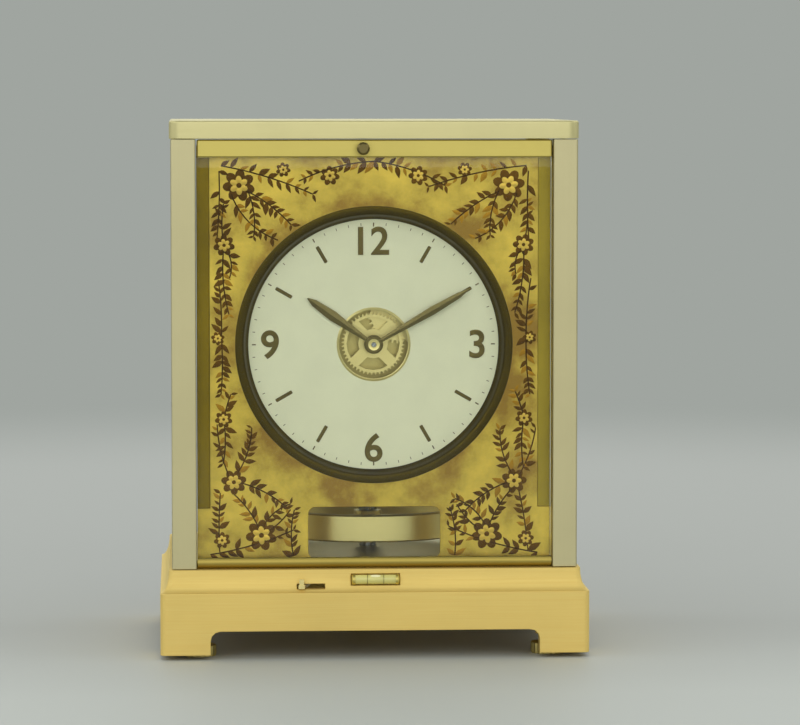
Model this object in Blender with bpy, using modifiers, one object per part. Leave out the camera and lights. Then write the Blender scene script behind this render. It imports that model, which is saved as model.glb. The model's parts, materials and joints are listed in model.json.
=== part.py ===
"""Mantel clock wound by changes of air temperature, under a glazed gilt case.

Metres, +Z up. The base centre is the origin, the clock faces -Y and +X is on the viewer's right.
Depths of the movement are counted forward, towards the viewer, from the balance axis at y = 0.
"""
import math

import bmesh
import bpy
from mathutils import Vector

# General clearances and cuts
GAP = 0.0003
LOOSE_GAP = 0.0006
OVERRUN = 0.002
WELD = 0.000001
SMOOTH_ANGLE = 35

# Case outside
CASE_HEIGHT = 0.225
PLINTH_WIDTH = 0.180
PLINTH_DEPTH = 0.138
PLINTH_SHOULDER = 0.028
PLINTH_TOP = 0.0375
PLINTH_CORNER = 0.0025
COVE_INSET = 0.0036
COVE_STEPS = 5
SKIRT_LIFT = 0.002
BODY_WIDTH = 0.170
BODY_DEPTH = 0.128

# Plinth inside
PLINTH_WALL = 0.007
PLINTH_CEILING = 0.004
ARCH_HEIGHT = 0.012
ARCH_ROUND = 0.004
ARCH_END = 0.021
SIDE_ARCH_END = 0.024

# Feet
FOOT_RADIUS = 0.0075
FOOT_DISC = 0.0045
FOOT_KNURLS = 20
FOOT_KNURL_DEPTH = 0.0005
FOOT_INSET = 0.016
FOOT_SCREW_RADIUS = 0.0025
FOOT_SCREW_TOP = 0.028
FOOT_BOSS_RADIUS = 0.0055
FOOT_BOSS_BOTTOM = 0.008

# Corner posts, top slab and panes
POST_WIDTH = 0.0104
POST_EDGE = 0.0008
GROOVE_DEPTH = 0.0015
SLAB_THICKNESS = 0.0075
SLAB_OVERHANG = 0.0006
SLAB_CORNER = 0.005
SLAB_EDGE = 0.0008
GLASS_THICKNESS = 0.0025
SIDE_GLASS_INSET = 0.003

# Front door
DOOR_SETBACK = 0.0005
RAIL_DEPTH = 0.005
RAIL_HEIGHT = 0.0075
RAIL_GROOVE = 0.0023
RAIL_EDGE = 0.0006
DOOR_SIDE_CLEARANCE = 0.0005
HINGE_BAR_RADIUS = 0.0024
HINGE_BAR_GROOVE = 0.0018
HINGE_PIN_RADIUS = 0.001
HINGE_PIN_LENGTH = 0.0025
KNOB_OFFSET = -0.005
KNOB_FOOT_RADIUS = 0.0018
KNOB_NECK_RADIUS = 0.0011
KNOB_HEAD_RADIUS = 0.0027
KNOB_FOOT = 0.0008
KNOB_NECK = 0.0018
KNOB_HEAD = 0.0022
KNOB_CROWN_SHARE = 0.7
KNOB_BAND_TOP_SHARE = 0.6
KNOB_BAND_BOTTOM_SHARE = 0.3

# Front panel, bezel and dial
DIAL_CENTRE_SHARE = 0.4175
PANEL_SETBACK = 0.0025
PANEL_THICKNESS = 0.0015
PANEL_BORDER = 0.0053
PANEL_REBATE = 0.0007
PANEL_FOOT_TOP = 0.0625
PANEL_HEAD_COVER = 0.0015
PANEL_TOP_GAP = 0.0025
PANEL_APERTURE_SHARE = 0.3912
WINDOW_WIDTH = 0.0555
WINDOW_BOTTOM = 0.0408
WINDOW_TOP = 0.0627
WINDOW_ROUND = 0.003
BEZEL_WALL = 0.0022
BEZEL_LIP = 0.0048
BEZEL_MOUTH = 0.0029
BEZEL_PROUD = 0.0006
BEZEL_FLANGE_WIDTH = 0.0022
BEZEL_FLANGE = 0.0014
BEZEL_TAIL = 0.0008
DIAL_RECESS = 0.0045
DIAL_THICKNESS = 0.0012
DIAL_APERTURE_RADIUS = 0.0145
DIAL_FOOT_RADIUS = 0.0012
DIAL_FOOT_CIRCLE_SHARE = 0.6545
DIAL_FOOT_ANGLES = (20, 160, 270)

# Level on the shoulder
LEVEL_RADIUS = 0.0022
LEVEL_LENGTH = 0.020
LEVEL_HEIGHT = 0.0332
LEVEL_SINK = 0.0018
LEVEL_CAP = 0.0015
LEVEL_CAP_STEP = 0.0002

# Balance lock
LOCK_TAB_REST = -0.031
LOCK_TRAVEL = 0.008
LOCK_PIVOT_BACK = 0.035
LOCK_LEVER_THICKNESS = 0.0016
LOCK_LEVER_DROP = 0.0022
LOCK_TAB_WIDTH = 0.0026
LOCK_TAB_PROUD = 0.0016
LOCK_TAB_HEIGHT = 0.004
LOCK_PAD_RADIUS = 0.006
LOCK_STUD_RADIUS = 0.002
LOCK_STUD_HEAD_RADIUS = 0.004
LOCK_STUD_HEAD = 0.0014
COLLAR_STEM_RADIUS = 0.0035
COLLAR_HEAD_RADIUS = 0.006
COLLAR_HEAD = 0.0028
COLLAR_REST_GAP = 0.0022
COLLAR_DISH_RADIUS = 0.0028
COLLAR_DISH = 0.0016

# Balance
RING_RADIUS = 0.047
RING_WALL = 0.0035
RING_HEIGHT = 0.0115
RING_OVER_DECK = 0.0067
RING_EDGE = 0.0006
ARM_WIDTH = 0.0032
ARM_THICKNESS = 0.0016
HUB_RADIUS = 0.006
HUB_HEIGHT = 0.006
STAFF_RADIUS = 0.002
STAFF_OVER_ROLLER = 0.0065
STAFF_COLLAR_RADIUS = 0.004
STAFF_COLLAR = 0.0025
ROLLER_RADIUS = 0.0065
ROLLER_THICKNESS = 0.0012
ROLLER_UNDER_PLATE_TOP = 0.0085
IMPULSE_PIN_RADIUS = 0.0005
IMPULSE_PIN_CIRCLE = 0.005
IMPULSE_PIN_LENGTH = 0.005
IMPULSE_PIN_ANGLE = 0

# Movement platform and its columns
DECK_THICKNESS = 0.002
DECK_CLEARANCE = 0.0025
RING_TO_PLATFORM = 0.008
PLATFORM_THICKNESS = 0.003
PLATFORM_WIDTH = 0.130
PLATFORM_DEPTH = 0.092
PLATFORM_ROUND = 0.006
STAFF_HOLE_CLEARANCE = 0.003
COLUMN_X = 0.058
COLUMN_Y = 0.036
COLUMN_RADIUS = 0.003
COLUMN_FOOT_RADIUS = 0.0045
COLUMN_FOOT = 0.0025

# Movement plates and pillars
MOTION_SPACE = 0.0093
PLATE_THICKNESS = 0.0025
PLATE_SPACE = 0.023
PLATE_HALF_WIDTH = 0.040
PLATE_TOP_SHARE = 0.8148
PLATE_ROUND = 0.006
PILLAR_INSET = 0.006
PILLAR_RADIUS = 0.0026
PILLAR_WAIST_RADIUS = 0.0018
PILLAR_FOOT = 0.003

# Teeth
TOOTH_ADDENDUM_SHARE = 0.75
TOOTH_DEDENDUM_SHARE = 1.2
TOOTH_TIP_SHARE = 0.09
TOOTH_ROOT_SHARE = 0.28
MESH_CLEARANCE = 0.0001
WHEEL_THICKNESS = 0.0013
PINION_LENGTH = 0.0035
RIM_WIDTH = 0.0022
SPOKE_WIDTH = 0.0018
SPOKES = 4
WHEEL_HUB_RADIUS = 0.0032
WINDING_MODULE = 0.00075
TRAIN_MODULE = 0.0006
HOUR_MODULE = 0.0005375
BARREL_TEETH = 48
INTERMEDIATE_TEETH = 48
CENTRE_TEETH = 40
PINION_LEAVES = 12
ESCAPE_LEAVES = 10
MINUTE_TEETH = 36
HOUR_TEETH = 48
MOTION_LEAVES = 12

# Places of the arbors, as directions from one to the next
INTERMEDIATE_ANGLE = 210
BARREL_ANGLE = -75
ESCAPE_ANGLE = 90
MINUTE_ANGLE = 50

# Arbors
ARBOR_RADIUS = 0.0015
PIVOT_RADIUS = 0.0009
ARBOR_END_GAP = 0.0003
CENTRE_WHEEL_BEHIND = 0.0058
CENTRE_PINION_BEHIND = 0.0140
INTERMEDIATE_PINION_BEHIND = 0.0093
BARREL_WHEEL_BEHIND = 0.0102
ESCAPE_WHEEL_BEHIND = 0.0184

# Barrel and winding
BARREL_RADIUS = 0.014
BARREL_DEPTH = 0.0075
BARREL_ARBOR_RADIUS = 0.002
PULLEY_RADIUS = 0.005
PULLEY_FLANGE_RADIUS = 0.0058
PULLEY_THICKNESS = 0.003
PULLEY_GROOVE = 0.0014
RATCHET_TEETH = 18
RATCHET_RADIUS = 0.0072
RATCHET_DEPTH = 0.0010
RATCHET_THICKNESS = 0.0010
RATCHET_LEAN_SHARE = 0.85
PULLEY_BEHIND = 0.0004
CLICK_REACH = 0.010
CLICK_WIDTH = 0.0022
CLICK_HUB_RADIUS = 0.0020
CLICK_NOSE_WIDTH = 0.0010
CLICK_STUD_RADIUS = 0.0009
CLICK_ANGLE = -20
CLICK_CLEARANCE = 0.0004

# Motion work
CANNON_BEHIND = 0.0063
CANNON_PINION_LENGTH = 0.0019
CANNON_PIPE_RADIUS = 0.0018
HOUR_WHEEL_BEHIND = 0.0031
HOUR_WHEEL_THICKNESS = 0.0011
HOUR_PIPE_RADIUS = 0.0027
MINUTE_WHEEL_BEHIND = 0.0057
MINUTE_WHEEL_THICKNESS = 0.0010
MINUTE_PINION_TOP_BEHIND = 0.0029
MINUTE_STUD_RADIUS = 0.0010
HOUR_CROSSING_INNER = 0.0062
HOUR_CROSSING_OUTER = 0.0112
HOUR_SPOKE_WIDTH = 0.0046

# Hands
HAND_THICKNESS = 0.0005
HOUR_HAND_OVER_DIAL = 0.0006
MINUTE_HAND_OVER_HOUR = 0.0010
HOUR_HAND_SHARE = 0.618
MINUTE_HAND_SHARE = 0.836
HAND_ROOT_WIDTH = 0.0016
HOUR_HAND_WIDTH = 0.0044
MINUTE_HAND_WIDTH = 0.0036
HAND_TIP_WIDTH = 0.0008
HAND_WIDEST_SHARE = 0.62
HAND_SHOULDER_SHARE = 0.9
HAND_SHOULDER_WIDTH_SHARE = 0.7
HAND_BOSS_RADIUS = 0.0040
HOUR_HAND_ANGLE = 145
MINUTE_HAND_ANGLE = 30

# Escapement
ESCAPE_TEETH = 15
ESCAPE_RADIUS = 0.009
ESCAPE_DEPTH = 0.0022
ESCAPE_TIP_SHARE = 0.06
ESCAPE_ROOT_SHARE = 0.30
ESCAPE_BACK_SHARE = 0.15
ESCAPE_SPOKES = 3
ESCAPE_RIM_WIDTH = 0.0011
ESCAPE_HUB_RADIUS = 0.0022
PALLET_DISTANCE = 0.0115
PALLET_ANGLE = 30
PALLET_CLEARANCE = 0.00015
PALLET_WIDTH = 0.0009
PALLET_LENGTH = 0.0030
ANCHOR_THICKNESS = 0.0018
ANCHOR_HUB_RADIUS = 0.0020
ANCHOR_ARM = 0.0014
LEVER_WIDTH = 0.0020
LEVER_THICKNESS = 0.0012
LEVER_BEHIND = 0.0024
LEVER_UNDER_ROLLER = 0.0015
PRONG_GAP = 0.00075
PRONG_WIDTH = 0.0008
PRONG_HEIGHT = 0.0030
PRONG_SHORT = 0.0002
COCK_HALF_WIDTH = 0.011
COCK_HEIGHT = 0.008
COCK_PLATE = 0.002
COCK_LEG = 0.0035
COCK_BEHIND = 0.0051

# Suspension head
BRACKET_HALF_WIDTH = 0.006
BRACKET_OVERLAP = 0.0065
BRACKET_OVER_PLATES = 0.009
BRACKET_THICKNESS = 0.0035
BRACKET_REACH = 0.006
SUSPENSION_BLOCK_RADIUS = 0.003
SUSPENSION_BLOCK = 0.006
SUSPENSION_WIRE_RADIUS = 0.0003
REGULATOR_RADIUS = 0.0055
REGULATOR_THICKNESS = 0.0012
REGULATOR_LENGTH = 0.018
REGULATOR_WIDTH = 0.0025

# Sealed drum, bellows, spring and chain
DRUM_SHARE = 0.3232
DRUM_WALL = 0.0015
DRUM_MOUTH_SHARE = 0.583
DRUM_FRONT = 0.016
DRUM_LENGTH = 0.036
DRUM_LUG_RADIUS = 0.003
DRUM_LUG_CIRCLE_SHARE = 0.833
DRUM_LUG_ANGLES = (25, 155, 228, 312)
CAP_THICKNESS = 0.0018
CAP_RIDGE = 0.0008
CAP_RIDGES = 4
BELLOWS_GAP = 0.0025
BELLOWS_FOLD = 0.004
BELLOWS_FOLDS = 5
BELLOWS_LENGTH = 0.013
HOOK_RADIUS = 0.0012
HOOK_LENGTH = 0.003
SPRING_SHARE = 0.75
SPRING_WIRE_RADIUS = 0.0011
SPRING_TURNS = 4
SPRING_POINTS = 10
CHAIN_RADIUS = 0.0005
CHAIN_BEND_STEPS = 5
ROLLER_WHEEL_RADIUS = 0.004
ROLLER_WHEEL_WIDTH = 0.0024
GUIDE_PIN_RADIUS = 0.0008
GUIDE_ARM_WIDTH = 0.002
GUIDE_ARM_HEIGHT = 0.006

# Facets round a turned piece
FINE = 48
ROUND = 32
SMALL = 16
TINY = 10

# Heights and depths that follow from the sizes above
SLAB_BOTTOM = CASE_HEIGHT - SLAB_THICKNESS
POST_X = (BODY_WIDTH - POST_WIDTH) / 2
POST_Y = (BODY_DEPTH - POST_WIDTH) / 2
POST_INNER_X = BODY_WIDTH / 2 - POST_WIDTH
POST_INNER_Y = BODY_DEPTH / 2 - POST_WIDTH
SIDE_GLASS_X = BODY_WIDTH / 2 - SIDE_GLASS_INSET - GLASS_THICKNESS / 2
REAR_GLASS_Y = BODY_DEPTH / 2 - SIDE_GLASS_INSET - GLASS_THICKNESS / 2
CAVITY_TOP = PLINTH_TOP - PLINTH_CEILING
DOOR_FORWARD = BODY_DEPTH / 2 - DOOR_SETBACK - RAIL_DEPTH / 2
DOOR_AXIS_HEIGHT = PLINTH_TOP + GAP + HINGE_BAR_RADIUS
RAIL_TOP = SLAB_BOTTOM - GAP
RAIL_BOTTOM = RAIL_TOP - RAIL_HEIGHT
PANEL_FRONT = DOOR_FORWARD - RAIL_DEPTH / 2 - PANEL_SETBACK
PANEL_BACK = PANEL_FRONT - PANEL_THICKNESS
DIAL_FRONT = PANEL_FRONT - DIAL_RECESS
DIAL_BACK = DIAL_FRONT - DIAL_THICKNESS
PANEL_APERTURE_RADIUS = (RAIL_BOTTOM - WINDOW_TOP) * PANEL_APERTURE_SHARE
BEZEL_LIP_RADIUS = PANEL_APERTURE_RADIUS - BEZEL_LIP
BEZEL_MOUTH_RADIUS = PANEL_APERTURE_RADIUS - BEZEL_MOUTH
BEZEL_FLANGE_RADIUS = PANEL_APERTURE_RADIUS + BEZEL_FLANGE_WIDTH
DIAL_RADIUS = PANEL_APERTURE_RADIUS - GAP - BEZEL_WALL
DIAL_FOOT_CIRCLE = DIAL_RADIUS * DIAL_FOOT_CIRCLE_SHARE
HOUR_HAND_LENGTH = DIAL_RADIUS * HOUR_HAND_SHARE
MINUTE_HAND_LENGTH = DIAL_RADIUS * MINUTE_HAND_SHARE
FRONT_PLATE_FRONT = DIAL_BACK - MOTION_SPACE
FRONT_PLATE_BACK = FRONT_PLATE_FRONT - PLATE_THICKNESS
BACK_PLATE_FRONT = FRONT_PLATE_BACK - PLATE_SPACE
BACK_PLATE_BACK = BACK_PLATE_FRONT - PLATE_THICKNESS
DECK_BOTTOM = PLINTH_TOP + GAP
DECK_TOP = DECK_BOTTOM + DECK_THICKNESS
RING_BOTTOM = DECK_TOP + RING_OVER_DECK
RING_TOP = RING_BOTTOM + RING_HEIGHT
HUB_BOTTOM = (RING_BOTTOM + RING_TOP - HUB_HEIGHT) / 2
PLATFORM_BOTTOM = RING_TOP + RING_TO_PLATFORM
PLATFORM_TOP = PLATFORM_BOTTOM + PLATFORM_THICKNESS
PLATE_BOTTOM = PLATFORM_TOP + GAP
MOVEMENT_ROOM = SLAB_BOTTOM - PLATFORM_TOP
DIAL_CENTRE_HEIGHT = PLATFORM_TOP + MOVEMENT_ROOM * DIAL_CENTRE_SHARE
PLATE_TOP = PLATFORM_TOP + MOVEMENT_ROOM * PLATE_TOP_SHARE
ROLLER_HEIGHT = PLATE_TOP - ROLLER_UNDER_PLATE_TOP
LEVER_TOP = ROLLER_HEIGHT - LEVER_UNDER_ROLLER
STAFF_TOP = ROLLER_HEIGHT + STAFF_OVER_ROLLER
BRACKET_BOTTOM = PLATE_TOP - BRACKET_OVERLAP
BRACKET_TOP = PLATE_TOP + BRACKET_OVER_PLATES
DRUM_RADIUS = MOVEMENT_ROOM * DRUM_SHARE
DRUM_MOUTH_RADIUS = DRUM_RADIUS * DRUM_MOUTH_SHARE
DRUM_LUG_CIRCLE = DRUM_RADIUS * DRUM_LUG_CIRCLE_SHARE
BELLOWS_RADIUS = DRUM_RADIUS - DRUM_WALL - BELLOWS_GAP
SPRING_RADIUS = DRUM_RADIUS * SPRING_SHARE
FOOT_X = PLINTH_WIDTH / 2 - FOOT_INSET
FOOT_Y = PLINTH_DEPTH / 2 - FOOT_INSET
BORE = PIVOT_RADIUS + GAP
DRUM_BACK = DRUM_FRONT + DRUM_LENGTH
COLLAR_TOP = HUB_BOTTOM - COLLAR_REST_GAP
LOCK_LEVER_TOP = CAVITY_TOP - LOCK_LEVER_DROP
LOCK_LEVER_BOTTOM = LOCK_LEVER_TOP - LOCK_LEVER_THICKNESS

UP = (0, 0, 0)
FORWARD = (math.pi / 2, 0, 0)
ACROSS = (0, math.pi / 2, 0)
SIDEWAYS = (math.pi / 2, 0, math.pi / 2)
ORIGIN = (0, 0, 0)

# Finishes: colour, metallic, roughness
FINISHES = {
    "gilt": ((0.72, 0.58, 0.22, 1), 1.0, 0.28),
    "pale_gilt": ((0.74, 0.66, 0.40, 1), 1.0, 0.32),
    "brass": ((0.66, 0.50, 0.20, 1), 1.0, 0.35),
    "steel": ((0.45, 0.46, 0.48, 1), 1.0, 0.30),
    "dark": ((0.05, 0.04, 0.01, 1), 0.6, 0.45),
    "panel": ((0.42, 0.30, 0.06, 1), 0.7, 0.45),
    "dial": ((0.80, 0.82, 0.72, 1), 0.0, 0.40),
    "glass": ((0.85, 0.90, 0.88, 1), 0.0, 0.05),
    "nickel": ((0.70, 0.70, 0.68, 1), 1.0, 0.25),
}


def clear_scene():
    """Start from an empty scene with a collection for parts, tools and pivots."""
    for old in list(bpy.data.objects):
        bpy.data.objects.remove(old, do_unlink=True)
    made = []
    for name in ("atmospheric_clock", "shaping_tools", "pivots"):
        collection = bpy.data.collections.new(name)
        bpy.context.scene.collection.children.link(collection)
        made.append(collection)
    return made


PARTS, TOOLS, PIVOTS = clear_scene()


def finish_material(name, finish):
    """Give one piece its own metal, glass or enamel."""
    colour, metallic, roughness = FINISHES[finish]
    made = bpy.data.materials.new(name + "_" + finish)
    made.use_nodes = True
    shader = made.node_tree.nodes["Principled BSDF"]
    shader.inputs["Base Color"].default_value = colour
    shader.inputs["Metallic"].default_value = metallic
    shader.inputs["Roughness"].default_value = roughness
    made.diffuse_color = colour
    return made


def add_object(name, mesh, finish, at, turn):
    """Put a mesh in the parts, or among the shaping tools where it has no finish."""
    made = bpy.data.objects.new(name, mesh)
    made.location = at
    made.rotation_euler = turn
    if finish is None:
        TOOLS.objects.link(made)
        made.display_type = "WIRE"
        made.hide_render = True
    else:
        PARTS.objects.link(made)
        mesh.materials.append(finish_material(name, finish))
    return made


def from_bmesh(name, shape, finish=None, at=ORIGIN, turn=UP, smooth=False):
    mesh = bpy.data.meshes.new(name)
    shape.to_mesh(mesh)
    shape.free()
    if smooth:
        mesh.shade_smooth()
        mesh.set_sharp_from_angle(angle=math.radians(SMOOTH_ANGLE))
    return add_object(name, mesh, finish, at, turn)


def cube_shape(low, high):
    shape = bmesh.new()
    bmesh.ops.create_cube(shape, size=1.0)
    size = [top - bottom for bottom, top in zip(low, high)]
    middle = [(top + bottom) / 2 for bottom, top in zip(low, high)]
    bmesh.ops.scale(shape, vec=size, verts=shape.verts)
    bmesh.ops.translate(shape, vec=middle, verts=shape.verts)
    return shape


def round_edges(shape, edges, radius, segments):
    bmesh.ops.bevel(shape, geom=edges, offset=radius, offset_type="OFFSET", segments=segments,
                    profile=0.5, affect="EDGES", material=-1)


def upright_edges(shape):
    return [edge for edge in shape.edges
            if abs(edge.verts[0].co.z - edge.verts[1].co.z) > WELD]


def level_edges(shape, height):
    return [edge for edge in shape.edges
            if all(abs(vert.co.z - height) < WELD for vert in edge.verts)]


def block(name, low, high, finish=None, at=ORIGIN, turn=UP, edge=0.0):
    """A box from its lowest to its highest corner, with its edges rounded if asked."""
    shape = cube_shape(low, high)
    if edge:
        round_edges(shape, list(shape.edges), edge, 1)
    return from_bmesh(name, shape, finish, at, turn)


def rod(name, radius, low, high, finish=None, at=ORIGIN, turn=UP, sides=SMALL):
    """A cylinder along its own Z axis, from one height to another."""
    shape = bmesh.new()
    bmesh.ops.create_cone(shape, cap_ends=True, segments=sides, radius1=radius, radius2=radius,
                          depth=high - low)
    bmesh.ops.translate(shape, vec=(0, 0, (low + high) / 2), verts=shape.verts)
    return from_bmesh(name, shape, finish, at, turn, smooth=True)


def turned(name, profile, finish=None, at=ORIGIN, turn=UP, sides=ROUND, closed=False):
    """Turn a profile of (radius, height) points round its own Z axis.

    The profile runs from top to bottom on its outer side, and a closed one makes a ring.
    """
    mesh = bpy.data.meshes.new(name)
    links = [(index, index + 1) for index in range(len(profile) - 1)]
    if closed:
        links.append((len(profile) - 1, 0))
    mesh.from_pydata([(radius, 0, height) for radius, height in profile], links, [])
    made = add_object(name, mesh, finish, at, turn)
    screw = made.modifiers.new("turning", "SCREW")
    screw.axis = "Z"
    screw.angle = math.tau
    screw.steps = sides
    screw.render_steps = sides
    screw.use_merge_vertices = True
    screw.merge_threshold = WELD
    screw.use_smooth_shade = True
    return made


def stepped(*steps):
    """Profile of a solid shaft: each step is its radius, top and bottom, from the top down."""
    profile = [(0, steps[0][1])]
    for radius, top, bottom in steps:
        profile.append((radius, top))
        profile.append((radius, bottom))
    profile.append((0, steps[-1][2]))
    return profile


def tube_profile(outer, inner, top, bottom):
    return [(inner, top), (outer, top), (outer, bottom), (inner, bottom)]


def mesh_from_curve(name, drawn, shift, finish, at, turn):
    """Convert a curve to a welded mesh, moved along its own Z axis, with one face on each open end."""
    holder = bpy.data.objects.new(name + "_curve", drawn)
    TOOLS.objects.link(holder)
    bpy.context.view_layer.update()
    seen = holder.evaluated_get(bpy.context.evaluated_depsgraph_get())
    mesh = bpy.data.meshes.new_from_object(seen)
    bpy.data.objects.remove(holder, do_unlink=True)
    bpy.data.curves.remove(drawn)
    shape = bmesh.new()
    shape.from_mesh(mesh)
    bmesh.ops.remove_doubles(shape, verts=shape.verts, dist=WELD)
    rims = [edge for edge in shape.edges if edge.is_boundary]
    if rims:
        bmesh.ops.edgeloop_fill(shape, edges=rims)
    bmesh.ops.translate(shape, vec=(0, 0, shift), verts=shape.verts)
    bmesh.ops.recalc_face_normals(shape, faces=shape.faces)
    shape.to_mesh(mesh)
    shape.free()
    mesh.materials.clear()
    mesh.name = name
    return add_object(name, mesh, finish, at, turn)


def add_spline(drawn, points, cyclic):
    spline = drawn.splines.new("POLY")
    spline.points.add(len(points) - 1)
    for target, point in zip(spline.points, points):
        flat_point = tuple(point) + (0,) * (3 - len(point))
        target.co = flat_point + (1,)
    spline.use_cyclic_u = cyclic


def flat(name, outlines, low, high, finish=None, at=ORIGIN, turn=UP):
    """A plate from one height to another: an outer outline, with the others cut out of it.

    The curve makes the walls, and each end is closed with a single face, which stays sound
    where several corners of an outline lie in line.
    """
    drawn = bpy.data.curves.new(name, "CURVE")
    drawn.dimensions = "2D"
    drawn.fill_mode = "NONE"
    drawn.extrude = (high - low) / 2
    add_spline(drawn, outlines[0], True)
    made = mesh_from_curve(name, drawn, (high + low) / 2, finish, at, turn)
    for index, hole in enumerate(outlines[1:]):
        cut(made, flat("%s_hole_%d" % (name, index), [hole], low - OVERRUN, high + OVERRUN,
                       at=at, turn=turn))
    return made


def wire(name, points, radius, finish, resolution):
    """A round wire with filled ends along its points."""
    drawn = bpy.data.curves.new(name, "CURVE")
    drawn.dimensions = "3D"
    drawn.bevel_depth = radius
    drawn.bevel_resolution = resolution
    drawn.use_fill_caps = True
    add_spline(drawn, points, False)
    return mesh_from_curve(name, drawn, 0, finish, ORIGIN, UP)


def use_tool(piece, tool, operation):
    change = piece.modifiers.new(tool.name, "BOOLEAN")
    change.operation = operation
    change.solver = "EXACT"
    change.object = tool


def cut(piece, *tools):
    for tool in tools:
        use_tool(piece, tool, "DIFFERENCE")


def join(piece, *tools):
    for tool in tools:
        use_tool(piece, tool, "UNION")


def pivot(name, at, pieces):
    """Hang pieces on an empty that stands on their joint's axis."""
    holder = bpy.data.objects.new(name, None)
    PIVOTS.objects.link(holder)
    holder.location = at
    for piece in pieces:
        piece.location = Vector(piece.location) - Vector(at)
        piece.parent = holder
    return holder


def polar(radius, degrees, centre=(0, 0)):
    angle = math.radians(degrees)
    return (centre[0] + radius * math.cos(angle), centre[1] + radius * math.sin(angle))


def circle(radius, centre=(0, 0), count=TINY):
    return [polar(radius, 360 * index / count, centre) for index in range(count)]


def rounded_rectangle(low, high, radius, segments=4):
    """Corner points of a rectangle in a plane, with round corners."""
    corners = ((high[0] - radius, high[1] - radius, 0), (low[0] + radius, high[1] - radius, 90),
               (low[0] + radius, low[1] + radius, 180), (high[0] - radius, low[1] + radius, 270))
    return [polar(radius, start + 90 * step / segments, (x, y))
            for x, y, start in corners for step in range(segments + 1)]


def gear_outline(teeth, module, towards, gap_there=False):
    """Outline of a toothed wheel with a tooth, or a gap, pointing in a direction."""
    pitch_radius = teeth * module / 2
    tip = pitch_radius + TOOTH_ADDENDUM_SHARE * module
    root = pitch_radius - TOOTH_DEDENDUM_SHARE * module
    pitch = 360 / teeth
    start = towards + (pitch / 2 if gap_there else 0)
    points = []
    for index in range(teeth):
        middle = start + pitch * index
        for radius, share in ((root, -TOOTH_ROOT_SHARE), (tip, -TOOTH_TIP_SHARE),
                              (tip, TOOTH_TIP_SHARE), (root, TOOTH_ROOT_SHARE)):
            points.append(polar(radius, middle + share * pitch))
    return points


def crossings(inner, outer, spoke_width, count, start=45, arc_points=5):
    """Openings between the spokes of a wheel, each bounded by two arcs and two spokes."""
    openings = []
    for index in range(count):
        middle = start + 360 * index / count
        points = []
        for radius, direction in ((outer, 1), (inner, -1)):
            half = 180 / count - math.degrees(math.asin(spoke_width / 2 / radius))
            for step in range(arc_points):
                swing = direction * half * (2 * step / (arc_points - 1) - 1)
                points.append(polar(radius, middle + swing))
        openings.append(points)
    return openings


def hub_outline(radius, half_root, blade, arc_points=14):
    """A round hub with a blade along +X, whose points run from its lower to its upper root."""
    opening = math.degrees(math.asin(half_root / radius))
    arc = [polar(radius, opening + (360 - 2 * opening) * step / arc_points)
           for step in range(arc_points + 1)]
    return arc + blade


def swung(points, degrees):
    """Turn the points of an outline round its origin."""
    angle = math.radians(degrees)
    return [(x * math.cos(angle) - y * math.sin(angle), x * math.sin(angle) + y * math.cos(angle))
            for x, y in points]


def wheel_outlines(teeth, module, towards):
    """A crossed-out wheel: rim with teeth, four spokes and hub."""
    rim_inner = teeth * module / 2 - TOOTH_DEDENDUM_SHARE * module - RIM_WIDTH
    return ([gear_outline(teeth, module, towards)]
            + crossings(WHEEL_HUB_RADIUS, rim_inner, SPOKE_WIDTH, SPOKES))


def mesh_distance(first_teeth, second_teeth, module):
    return (first_teeth + second_teeth) * module / 2 + MESH_CLEARANCE


# Arbor places in the plane of the plates, as (x, z)
CENTRE = (0, DIAL_CENTRE_HEIGHT)
INTERMEDIATE = polar(mesh_distance(INTERMEDIATE_TEETH, PINION_LEAVES, TRAIN_MODULE),
                     INTERMEDIATE_ANGLE, CENTRE)
BARREL = polar(mesh_distance(BARREL_TEETH, PINION_LEAVES, WINDING_MODULE), BARREL_ANGLE,
               INTERMEDIATE)
ESCAPE = polar(mesh_distance(CENTRE_TEETH, ESCAPE_LEAVES, TRAIN_MODULE), ESCAPE_ANGLE, CENTRE)
MINUTE_MODULE = HOUR_MODULE * (HOUR_TEETH + MOTION_LEAVES) / (MINUTE_TEETH + MOTION_LEAVES)
MINUTE = polar(mesh_distance(MINUTE_TEETH, MOTION_LEAVES, MINUTE_MODULE), MINUTE_ANGLE, CENTRE)
PALLET = (ESCAPE[0], ESCAPE[1] + PALLET_DISTANCE)
CLICK = polar(CLICK_REACH, CLICK_ANGLE, BARREL)
CHAIN_X = BARREL[0] + PULLEY_RADIUS + CHAIN_RADIUS + GAP
CHAIN_FORWARD = BACK_PLATE_BACK - PULLEY_BEHIND - RATCHET_THICKNESS - PULLEY_THICKNESS / 2


def on_axis(place):
    """World place of a point of the plate plane, on the balance plane."""
    return (place[0], 0, place[1])


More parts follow.
